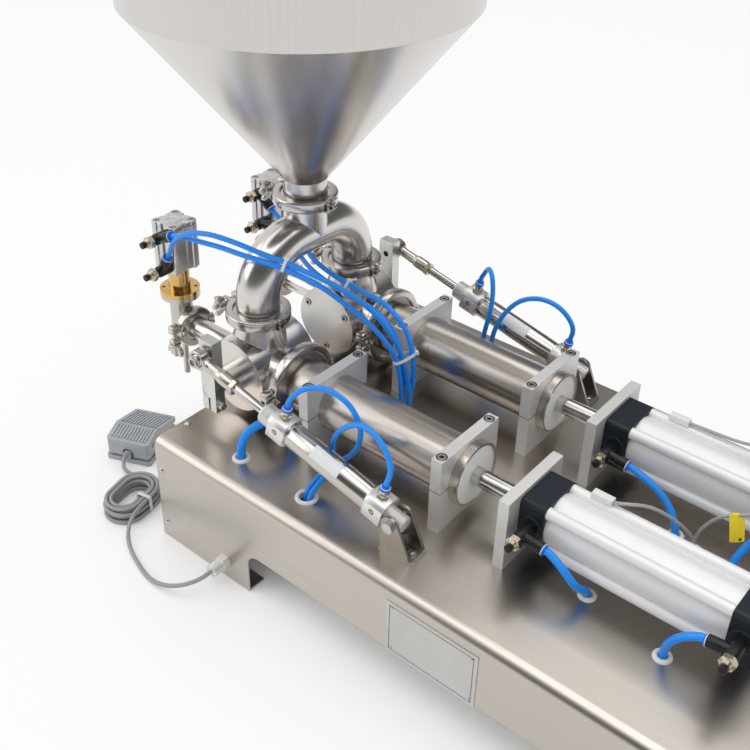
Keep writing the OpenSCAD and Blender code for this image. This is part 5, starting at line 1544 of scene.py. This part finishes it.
@dataclass
class ValveCylinder:
    """A small round air cylinder that turns a valve, with its rod and rod end."""

    side: Side
    block_w: float = 29.4
    block_l: float = 24.0
    block_s: Spot = (11.6, 148.6)
    tube_r: float = 14.1
    nose_r: float = 10.2
    front_r: float = 11.8
    nose_l: float = 16.0
    thread: float = 2.2
    reach: float = 291.57
    rod_r: float = 5.0
    rod_end_l: float = 58.0
    label_s: Spot = (74.0, 113.0)

    def build(self) -> None:
        """Makes the cylinder and its rod."""
        self._cylinder()
        self._rod()

    def _threads(self, low: float, high: float, r: float) -> list[Spot]:
        """A row of shallow thread ridges as a profile.

        Args:
            low: Height where it starts.
            high: Height where it ends.
            r: Radius of the ridges.

        Returns:
            The profile's corners.
        """
        count = round((high - low) / self.thread)
        step = (high - low) / count
        row = []
        for k in range(count):
            z = low + step * k
            row += [(r - 0.9, z), (r, z + step * 0.45), (r, z + step * 0.65)]
        return row

    def _block_outline(self) -> list[Spot]:
        """The end blocks' outline: four flats cut on a round bar.

        Returns:
            The outline's points.
        """
        bar_r = self.block_w * 0.6
        first = math.degrees(math.acos(self.block_w / 2 / bar_r))
        starts = [90 * quarter + first for quarter in range(4)]
        return [point for start in starts for point in arc((0, 0), bar_r, start, 90 - 2 * first, 6)]

    def _cylinder(self) -> None:
        """The cylinder: blocks, noses, tube, fittings, cushion screws and blank label."""
        line = AirLine.of(self.side)
        stand = line.stand()
        form = Form(f"{self.side.word}_valve_cylinder")
        outline = self._block_outline()
        for start in self.block_s:
            form.slab(outline, start, start + self.block_l, stand, Finishes.END_BLOCK, 0.9)
        rear, front = self.block_s
        r, low, top = self.tube_r, rear + self.block_l, front + self.block_l
        rim = [(r - 1, -2), (r + 0.9, 0), (r + 0.9, 1.3), (r - 0.5, 1.8), (r - 0.5, 2.6), (r, 3.4)]
        tube = [(x, low + z) for x, z in rim] + [(x, front - z) for x, z in reversed(rim)]
        form.turned(tube, stand, Finishes.AIR_TUBE, 64)
        r, end, bore = self.front_r, top + self.nose_l, self.rod_r + 0.9
        threads = self._threads(top + 1.6, end - 0.8, r)
        nose = [(r - 0.8, top - 1), (r - 0.8, top + 1.6), *threads]
        nose += [(r - 0.9, end), (bore, end), (bore, end - 2)]
        form.turned(nose, stand, Finishes.END_BLOCK, 40)
        # A near-black disc inside the bore paints its shade.
        form.turned([(bore + 0.05, end - 1.2), (0, end - 1.2)], stand, Finishes.HOLLOW, 32, cap=False)
        r, threads = self.nose_r, self._threads(-9.0, rear - 1.0, self.nose_r)
        tail = [(0, -11.0), (r - 3.2, -11.0), (r - 0.9, -9.6), *threads, (r - 0.8, rear + 1)]
        form.turned(tail, stand, Finishes.END_BLOCK, 40)
        for start in self.block_s:
            self._port(form, line, start + self.block_l / 2)
            self._cushion(form, line, start + self.block_l / 2)
        form.wrapped(arc((0, 0), self.tube_r + 0.12, -4, -62, 16), *self.label_s, stand, Finishes.LABEL)
        form.done(f"{self.side.word}_cylinder", "cylinder_metal", f"{self.side.word}_air_cylinder")

    def _port(self, form: Form, line: AirLine, s: float) -> None:
        """A push-in fitting on an end block: hexagon, barrel and blue collar.

        Args:
            form: The piece that takes it.
            line: The cylinder's line.
            s: How far along the line it sits.
        """
        stand = pose(line.at(s, self.block_w / 2), line.up, line.along)
        barrel = [(0, 6.0), (5.2, 6.0), (5.2, 7.0), (4.7, 7.4), (4.7, 11.6), (0, 11.6)]
        collar = [(0, 11.4), (5.6, 11.4), (5.9, 12.0), (5.9, 14.4), (0, 14.4)]
        form.hexed(7.0, 0.2, 6.2, stand, Finishes.NICKEL)
        form.turned(eased(barrel, 0.3), stand, Finishes.NICKEL, 32)
        form.turned(eased(collar, 0.5), stand, Finishes.COLLAR, 36)
        form.disc(5.2, 14.2, 15.0, stand, Finishes.NYLON, 0.25, 36)
        form.turned(eased([(0, 14.8), (4.5, 14.8), (4.5, 17.0), (0, 17.2)], 0.4), stand, Finishes.COLLAR, 36)

    def _cushion(self, form: Form, line: AirLine, s: float) -> None:
        """A slotted cushion screw sunk in the block's near face.

        Args:
            form: The piece that takes it.
            line: The cylinder's line.
            s: How far along the line it sits.
        """
        stand = pose(line.at(s, 2.0) - FARWARD * self.block_w / 2 * MM, -FARWARD, line.up)
        # The near-black ring round the screw and the slot paint the shade of its recess.
        form.turned([(0, 0.04), (3.4, 0.04), (3.4, -0.5)], stand, Finishes.HOLLOW, 28, cap=False)
        form.disc(2.5, 0.0, 0.5, stand, Finishes.NICKEL, 0.2, 28)
        slot = stand @ Matrix.Rotation(0.5, 4, "Z")
        form.block((-2.3, -0.45, 0.3), (2.3, 0.45, 0.56), slot, Finishes.HOLLOW, 0.05)

    def _rod(self) -> None:
        """The polished rod, its piston, lock nut, rod end and pin."""
        line = AirLine.of(self.side)
        stand = line.stand()
        form = Form(f"{self.side.word}_valve_rod")
        nut = self.reach - self.rod_end_l
        form.disc(12.4, 41.6, 56.6, stand, Finishes.PISTON, 0.6, 48)
        form.disc(self.rod_r, 56, nut + 2, stand, Finishes.CHROME, 0.4, 40)
        form.hexed(9.0, nut, nut + 6, stand, Finishes.NICKEL)
        neck = [(0, 5.6), (7.2, 5.6), (8.0, 7), (8.0, 22), (6.6, 27), (6.2, 40), (6.6, 48), (0, 50)]
        form.turned(eased([(r, nut + z) for r, z in neck], 1.2), stand, Finishes.ZINC, 40)
        eye = pose(line.at(self.reach, 0), FARWARD * self.side.value, line.along)
        half_ring = [(8.4, -5.0), (9.2, -6.0), (11.2, -6.0), (12.0, -5.2)]
        ring = half_ring + [(r, -z) for r, z in reversed(half_ring)]
        form.turned(eased(ring, 0.6), eye, Finishes.ZINC, 48, cap=False)
        ball = [(0, -6.8), (5.6, -6.8), (8.2, -4.4), (8.7, 0), (8.2, 4.4), (5.6, 6.8), (0, 6.8)]
        form.turned(eased(ball, 1.2), eye, Finishes.CHROME, 40)
        form.turned([(4.0, -8.6), (4.0, 6.0)], eye, Finishes.SCREW, 28)
        form.disc(7.4, 6.4, 7.6, eye, Finishes.SCREW, 0.2, 32)
        form.hexed(7.0, 7.4, 11.4, eye, Finishes.ZINC, bore=3.9)
        form.disc(3.4, 9.0, 10.6, eye, Finishes.DARK_STEEL, 0.4, 24)
        form.done(f"{self.side.word}_rod", "rod_chrome", f"{self.side.word}_air_rod")


@dataclass
class Grommets:
    """White rubber rings where the hoses pass through the base's top: place and bore of each."""

    holes: tuple[Point, ...] = (
        (100, -180, 5.6), (126, -122, 5.6), (200, -180, 8.0), (200, 180, 8.0), (190, 0, 13.0),
        (500, -104, 4.6), (527, 28, 4.6), (592, 10, 4.6), (590, -124, 4.6), (551, 20, 5.0),
    )
    lip: Profile = (
        (0.9, -3.0), (0, -2.0), (0, 0.9), (0.35, 1.8), (1.1, 2.4), (2.0, 2.55), (3.2, 2.3), (4.2, 1.6),
        (4.8, 0.7), (5.0, 0.02), (5.0, 0.0),
    )
    depth: float = 6.0

    def build(self) -> None:
        """Makes all the rings."""
        form = Form("hose_rings")
        for x, y, bore in self.holes:
            stand = pose(LAYOUT.at(x, y, LAYOUT.base_h / MM), UP, REAR)
            form.turned([(bore + r, z) for r, z in self.lip], stand, Finishes.RUBBER, 48, cap=False)
            # A near-black disc deep in each hole paints its shade.
            form.turned([(bore + 0.2, -self.depth), (0, -self.depth)], stand, Finishes.HOLLOW, 32, cap=False)
        form.done("root", "white_rubber", "hose_grommets", sharp=60)


@dataclass(frozen=True)
class PipeJoint:
    """A clamped joint: its middle, its axis, the side of its hinge and the sizes of its clamp."""

    middle: Vector
    along: Vector
    hinge: Vector
    flange_r: float
    width: float
    band: float = 6.0

    @property
    def outer(self) -> float:
        """Radius of the clamp's outside."""
        return self.flange_r + self.band

    @property
    def half(self) -> float:
        """Half the clamp's width."""
        return self.width / 2

    def stand(self) -> Matrix:
        """The local frame with Z along the pipe and X towards the hinge."""
        return pose(self.middle, self.along, self.hinge)

    def angle(self, off: float) -> float:
        """Angle in degrees of a place on the outside, so far off the line from hinge to bolt."""
        return math.degrees(math.asin(off / self.outer))


@dataclass
class PipeClamps:
    """Hinged clamps on the pipe joints: two jaws, a hinge, a swing bolt and a wing nut each."""

    lip: float = 3.0
    link_half: float = 8.0
    pin_y: float = 3.95
    ear_gap: float = 4.0
    ear_end: float = 10.0
    ear_l: float = 12.0
    bolt_r: float = 3.0
    nut_l: float = 14.0
    wing_t: float = 5.8
    wing: Profile = (
        (-2.6, 4.6), (-2.9, 6.6), (-4.2, 9.0), (-7.2, 11.0), (-11.0, 12.2), (-14.2, 12.4), (-15.8, 11.6),
        (-15.6, 9.6), (-14.2, 6.8), (-13.4, 4.6),
    )

    def joints(self) -> list[PipeJoint]:
        """Every clamped joint of the machine.

        Returns:
            The joint under the hopper, then three on each head.
        """
        hopper = LAYOUT.on_head(Side.FAR, 0, -LAYOUT.head_y / MM, 188)
        result = [PipeJoint(hopper, UP, REAR, 32.0, 13.0)]
        for side in Side:
            result += [
                PipeJoint(LAYOUT.on_head(side, 0, 0, 69), UP, REAR, 32.0, 13.0),
                PipeJoint(LAYOUT.on_head(side, 65, 0, 0), REAR, FARWARD, 42.5, 13.0),
                PipeJoint(LAYOUT.on_head(side, -117, 0, 0), REAR, FARWARD, 20.0, 12.0),
            ]
        return result

    def build(self) -> None:
        """Makes the jaws, hinges, bolts and nuts of all the joints."""
        for name, slot, node, make in (
            ("clamp_bands", "clamp_steel", "clamp_jaws", self._jaws),
            ("clamp_hinges", "dark_steel", "clamp_links", self._hinge),
            ("clamp_swing_bolts", "clamp_steel", "clamp_bolts", self._bolt),
            ("clamp_wing_nuts", "clamp_steel", "clamp_nuts", self._nut),
        ):
            form = Form(name)
            for joint in self.joints():
                make(form, joint)
            form.done("root", slot, node)

    def _section(self, joint: PipeJoint) -> list[Spot]:
        """The jaws' section: a band with rounded rims and two lips over the ferrules.

        Args:
            joint: The joint.

        Returns:
            The section's corners.
        """
        inner, seat, outer, h = joint.flange_r - self.lip, joint.flange_r + 0.05, joint.outer, joint.half
        half = [
            (seat, h - 2.44), (inner, h - 2.3), (inner, h - 0.7), (inner + 0.7, h), (outer - 2.2, h),
            (outer - 1.0, h - 0.3), (outer - 0.3, h - 1.0), (outer, h - 2.2),
        ]
        return half + [(r, -z) for r, z in reversed(half)]

    def _jaws(self, form: Form, joint: PipeJoint) -> None:
        """Two half rings, their bolt ears and the thin tongues that hold the hinge pins.

        Args:
            form: The piece that takes them.
            joint: Where they sit.
        """
        at, outer, h = joint.stand(), joint.outer, joint.half
        start, near = joint.angle(self.link_half + 0.2), joint.angle(0.7)
        end = 180 - joint.angle(self.ear_gap + 0.1)
        section, root = self._section(joint), joint.flange_r + 0.4
        tongue = [
            (root, h - 2.3), (outer + 2.2, h - 2.3), (outer + 3.2, h - 1.8), (outer + 3.4, h - 1.0),
            (outer + 2.8, h - 0.2), (outer + 1.6, h), (root, h),
        ]
        for sense in (1, -1):
            form.arched(section, sense * start, sense * end, at, Finishes.CLAMP, 44)
            low, high = sorted((sense * self.ear_gap, sense * self.ear_end))
            form.block((-outer - self.ear_l, low, 1 - h), (2 - outer, high, h - 1), at, Finishes.CLAMP, 1.6)
            for up in (1, -1):
                flipped = [(r, up * z) for r, z in tongue]
                form.arched(flipped, sense * near, sense * (start + 1.5), at, Finishes.CLAMP, 8)

    def _hinge(self, form: Form, joint: PipeJoint) -> None:
        """The link between the jaws' tongues and its two riveted pins.

        Args:
            form: The piece that takes them.
            joint: Where they sit.
        """
        at, outer, h = joint.stand(), joint.outer, joint.half
        turn, root, top = joint.angle(self.link_half - 0.6), joint.flange_r + 0.6, h + 1.4
        half_link = [(root, -1.7), (outer + 1.6, -1.7), (outer + 2.4, -1.0)]
        link = half_link + [(r, -z) for r, z in reversed(half_link)]
        form.arched(link, -turn, turn, at, Finishes.DARK_STEEL, 16)
        half_pin = [(0, -top), (1.6, -top), (2.6, -top + 0.5), (2.8, -h), (2.0, -h + 0.05)]
        pin = half_pin + [(r, -z) for r, z in reversed(half_pin)]
        for y in (-self.pin_y, self.pin_y):
            form.turned(pin, shifted(at, outer, y, 0), Finishes.CLAMP, 24)

    def _bolt(self, form: Form, joint: PipeJoint) -> None:
        """The swing bolt: pivot head, shank and the thread that ends past its nut.

        Args:
            form: The piece that takes it.
            joint: Where it sits.
        """
        axis = shifted(joint.stand(), -joint.outer - self.ear_l / 2, 0, 0)
        r, end, h = self.bolt_r, self.ear_end + self.nut_l + 5, joint.half
        profile = [(0, -self.ear_end - 1), (r, -self.ear_end - 1), (r, self.ear_end + 2)]
        for k in range(9):
            z = self.ear_end + self.nut_l - 4 + k
            profile += [(r - 0.4, z), (r, z + 0.4), (r, z + 0.6)]
        form.turned([*profile, (r - 0.8, end), (0, end)], axis @ SIDEWAYS, Finishes.CLAMP, 24)
        low, high = (-self.ear_l / 2, self.ear_end, 1 - h), (self.ear_l / 2, self.ear_end + 5, h - 1)
        form.block(low, high, axis, Finishes.CLAMP, 1.8)

    def _nut(self, form: Form, joint: PipeJoint) -> None:
        """The wing nut: a waisted sleeve and two short rounded wings.

        Args:
            form: The piece that takes it.
            joint: Where it sits.
        """
        axis = shifted(joint.stand(), -joint.outer - self.ear_l / 2, -self.ear_end, 0)
        bore = self.bolt_r + 0.05
        sleeve = [(bore, 0.1), (7.2, 0.1), (7.2, 2.0), (6.2, 3.6), (6.0, 10)]
        sleeve += [(6.4, 13.4), (5.6, 14), (bore, 14)]
        form.turned(eased(sleeve, 0.6), axis @ SIDEWAYS, Finishes.CLAMP, 32, cap=False)
        turn = Matrix(((0, 0, 1), (1, 0, 0), (0, 1, 0))).to_4x4()
        for up in (1, -1):
            outline = [(y, up * z) for y, z in self.wing]
            form.slab(outline, -self.wing_t / 2, self.wing_t / 2, axis @ turn, Finishes.CLAMP, 1.0)


@dataclass(frozen=True)
class Compact:
    """Sizes of the square nozzle cylinders, and their place from a head's valve axis."""

    x: float = -138.0
    half: float = 20.0
    height: float = 62.0
    top_z: float = 141.0

    def stand(self, side: Side, x: float, y: float, z: float, along: Vector = UP) -> Matrix:
        """A local frame near a nozzle's axis, given in millimetres from it."""
        return pose(LAYOUT.on_head(side, self.x + x, y, z), along, REAR)


COMPACT = Compact()


@dataclass
class NozzleCylinders:
    """The square nozzle cylinders, drawn as fluted bar with round corner ribs."""

    corner: float = 4.5
    cap_l: float = 5.2
    groove: float = 0.4
    neck_r: float = 16.0

    def _outline(self) -> list[Spot]:
        """The bar's outline.

        Returns:
            The points, one quarter after the other.
        """
        h, r = COMPACT.half, self.corner
        flutes = [(h, -10.2), (h - 1.5, -9.2), (h - 1.5, -2.6), (h - 3.6, -2.6)]
        side = flutes + [(x, -y) for x, y in reversed(flutes)] + arc((h - r, h - r), r, 0, 90, 6)
        turns = ((1, 0), (0, 1), (-1, 0), (0, -1))
        return [(x * c - y * s, x * s + y * c) for c, s in turns for x, y in side]

    def build(self) -> None:
        """Makes both cylinders with their sunk end discs."""
        form = Form("nozzle_cylinders")
        top = COMPACT.height - self.cap_l
        for side in Side:
            stand = COMPACT.stand(side, 0, 0, COMPACT.top_z - COMPACT.height)
            for low, high in ((0.0, top - self.groove), (top, COMPACT.height)):
                form.slab(self._outline(), low, high, stand, Finishes.COMPACT, 0.5)
            form.turned([(self.neck_r, top - 1.0), (self.neck_r, top + 0.4)], stand, Finishes.HOLLOW, 48)
        form.done("root", "barrel_aluminium", "compact_cylinders")


@dataclass
class PlateTrim:
    """Rivets and a plain border on the blank plate."""

    inset: float = 4.0
    line: float = 0.9
    rivet_in: float = 7.0

    def build(self) -> None:
        """Makes the border and four rivets."""
        low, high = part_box("blank_plate")
        form = Form("plate_trim")
        stand = pose(Vector(((low.x + high.x) / 2, low.y, (low.z + high.z) / 2)), -FARWARD, REAR)
        wide, tall = (high.x - low.x) / MM / 2, (high.z - low.z) / MM / 2
        a, b = wide - self.inset, tall - self.inset
        rivet = eased([(0, 0.9), (1.2, 0.9), (2.0, 0.4), (2.1, -0.02)], 0.3)
        for sign in (-1, 1):
            x0, x1 = sorted((sign * a, sign * (a - self.line)))
            y0, y1 = sorted((sign * b, sign * (b - self.line)))
            for left, right, bottom, top in ((x0, x1, -b, b), (-a, a, y0, y1)):
                form.block((left, bottom, -0.02), (right, top, 0.14), stand, Finishes.DARK_STEEL, 0.05)
            for other in (-1, 1):
                at = shifted(stand, sign * (wide - self.rivet_in), other * (tall - self.rivet_in), 0)
                form.turned(rivet, at, Finishes.SCREW, 24, cap=False)
        form.done("root", "screw_steel")


def socket_top(form: Form, stand: Matrix, r: float) -> None:
    """The face of a sunk socket screw: its seat and its key hole in painted shade, and its bright rim.

    Args:
        form: The piece that takes it.
        stand: Local frame on the surface, with Z out of it.
        r: Radius of the screw's head.
    """
    seat = [(r * 1.32, 0.02), (r * 1.3, 0.08), (r - 0.1, 0.08)]
    rim = [(r, 0.06), (r - 0.2, 0.22), (r * 0.62, 0.26), (r * 0.58, 0.1)]
    # The seat ring and the key hole are near-black painted shade.
    form.turned(seat, stand, Finishes.HOLLOW, 32, cap=False)
    form.turned(rim, stand, Finishes.SCREW, 32, cap=False)
    form.turned([(r * 0.6, 0.12), (0, 0.12)], stand, Finishes.HOLLOW, 6, cap=False)


@dataclass
class HeadTrim:
    """Small trim of the heads: cradle seams and screw faces, port rims and clevis foot screws."""

    cradle_x: Spot = (110.0, 291.0)
    cradle_t: float = 13.0
    cradle_w: float = 100.0
    cradle_top: float = 41.0
    seam_half: float = 0.42
    proud: float = 0.06
    tube_r: float = 32.8
    screw_y: float = 41.25
    screw_r: float = 4.6
    rim: Profile = ((12.6, -0.05), (12.4, 0.45), (11.6, 0.6), (11.0, 0.4), (10.8, 0.06), (5.0, 0.06))
    foot_x: Spot = (276.0, 304.0)
    foot_y: float = 92.0
    foot_top: float = -49.0
    foot_screw_h: float = 3.0
    foot_screw_r: float = 2.6

    def build(self) -> None:
        """Makes the trim of both heads."""
        form = Form("head_trim")
        for side in Side:
            for x in self.cradle_x:
                self._cradle(form, side, x + self.cradle_t / 2)
            for rear in (False, True):
                port = Ports.drive(side, rear)
                form.turned(self.rim, pose(port.seat, -FARWARD, port.arm), Finishes.CAP, 48, cap=False)
            for x in self.foot_x:
                foot = pose(LAYOUT.on_head(side, x, self.foot_y, self.foot_top), UP, REAR)
                h = self.foot_screw_h
                head = eased([(0, h), (3.4, h), (4.2, h - 0.6), (4.2, -0.05)], 0.4)
                form.turned(head, foot, Finishes.SCREW, 28, cap=False)
                socket_top(form, shifted(foot, 0, 0, h), self.foot_screw_r)
        form.done("root", "screw_steel")

    def _cradle(self, form: Form, side: Side, x: float) -> None:
        """The seam between a cradle's halves, beside the tube, and the faces of its screws.

        Args:
            form: The piece that takes them.
            side: The head.
            x: Where the cradle's middle is, from the valve's axis.
        """
        seat = pose(LAYOUT.on_head(side, x, 0, 0), UP, REAR)
        t, w, h = self.cradle_t / 2 + self.proud, self.cradle_w / 2 + self.proud, self.seam_half
        for low, high in ((-w, -self.tube_r), (self.tube_r, w)):
            form.block((-t, low, -h), (t, high, h), seat, Finishes.HOLLOW, 0.05)
        for y in (-self.screw_y, self.screw_y):
            face = pose(LAYOUT.on_head(side, x, y, self.cradle_top), UP, REAR)
            socket_top(form, face, self.screw_r)


@dataclass
class NozzleTrim:
    """Screws and caps on the nozzle cylinders and their flanges."""

    screw_off: float = 14.4
    screw_r: float = 2.9
    flange_r: float = 19.5
    flange_z: float = 49.0

    def build(self) -> None:
        """Makes the corner screws, the pressed discs and the flange screws of both nozzles."""
        form = Form("nozzle_screws")
        top, low = COMPACT.top_z, COMPACT.top_z - COMPACT.height
        disc = eased([(0, 0.0), (9.0, 0.0), (9.0, 0.45), (8.0, 0.7), (7.4, 0.45), (0, 0.45)], 0.2)
        corners = [(i * self.screw_off, j * self.screw_off) for i in (-1, 1) for j in (-1, 1)]
        for side in Side:
            for x, y in corners:
                socket_top(form, COMPACT.stand(side, x, y, top), self.screw_r)
                form.hexed(3.4, 0.0, 3.2, COMPACT.stand(side, x, y, low, -UP), Finishes.BRASS)
            form.turned(disc, COMPACT.stand(side, 0, 0, top), Finishes.COMPACT, 48)
            for x, y in arc((0, 0), self.flange_r, 45, 270, 3):
                stand = COMPACT.stand(side, x, y, self.flange_z)
                form.disc(2.15, -0.5, -1.4, stand, Finishes.DARK_SCREW, 0.1, 24)
        form.done("root", "screw_steel")


@dataclass
class Coverings:
    """Finishes of the solids that show as they are."""

    plain: dict[str, Finish] = field(
        default_factory=lambda: {
            "base_shell": Finishes.BASE,
            "end_panels": Finishes.PANEL,
            "panel_screws": Finishes.SCREW,
            "blank_plate": Finishes.PLATE,
            "solenoid_block": Finishes.VALVE_BLOCK,
            "control_unit": Finishes.CASE,
            "air_inlet": Finishes.BRASS,
            "cradle_bases": Finishes.BLOCK,
            "cradle_caps": Finishes.BLOCK,
            "cradle_screws": Finishes.SCREW,
            "drive_plates": Finishes.BLOCK,
            "drive_caps": Finishes.CAP,
            "drive_barrels": Finishes.BARREL,
            "drive_screws": Finishes.SCREW,
            "rod_bushes": Finishes.BRONZE,
            "reed_switches": Finishes.SWITCH,
            "fill_tubes": Finishes.FILL,
            "guide_bushes": Finishes.WHITE,
            "valve_bodies": Finishes.PRODUCT,
            "valve_covers": Finishes.PRODUCT,
            "cover_screws": Finishes.SCREW,
            "manifold": Finishes.PRODUCT,
            "hopper": Finishes.HOPPER,
            "gaskets": Finishes.GASKET,
            "clevises": Finishes.BRACKET,
            "clevis_pins": Finishes.SCREW,
            "nozzle_bodies": Finishes.NOZZLE,
            "nozzle_columns": Finishes.BRASS,
            "pedal_tray": Finishes.PEDAL,
            "pedal_treadle": Finishes.PEDAL,
            "cord_gland": Finishes.GLAND,
        }
    )
    paired: dict[str, Finish] = field(
        default_factory=lambda: {
            "fill_piston": Finishes.PISTON,
            "piston_rod": Finishes.CHROME,
            "drive_piston": Finishes.PISTON,
            "valve_plug": Finishes.PRODUCT,
            "lever": Finishes.LEVER,
            "needle": Finishes.CHROME,
        }
    )

    def dress(self) -> None:
        """Gives every solid that shows its finish."""
        table = dict(self.plain)
        for side in Side:
            table.update({f"{side.word}_{name}": finish for name, finish in self.paired.items()})
        for name, finish in table.items():
            solid = frame["nodes"][name]
            solid.data.materials.clear()
            solid.data.materials.append(finish.material())
            for face in solid.data.polygons:
                face.material_index = 0
            LOG.info("solid %s in %s", name, finish.name)


def main() -> None:
    """Builds the view, the cords and the pieces in order."""
    logging.basicConfig(level=logging.INFO, format="%(name)s %(message)s")
    bpy.context.scene.view_settings.view_transform = "Standard"
    Camera().build()
    hoses = Hoses()
    hoses.build()
    PedalCord().build()
    Studio().build()
    Coverings().dress()
    hoses.dress()
    SpeedControls().build()
    for side in Side:
        ValveCylinder(side).build()
    Grommets().build()
    PipeClamps().build()
    NozzleCylinders().build()
    NozzleTrim().build()
    PlateTrim().build()
    HeadTrim().build()


if __name__ == "__main__":
    main()
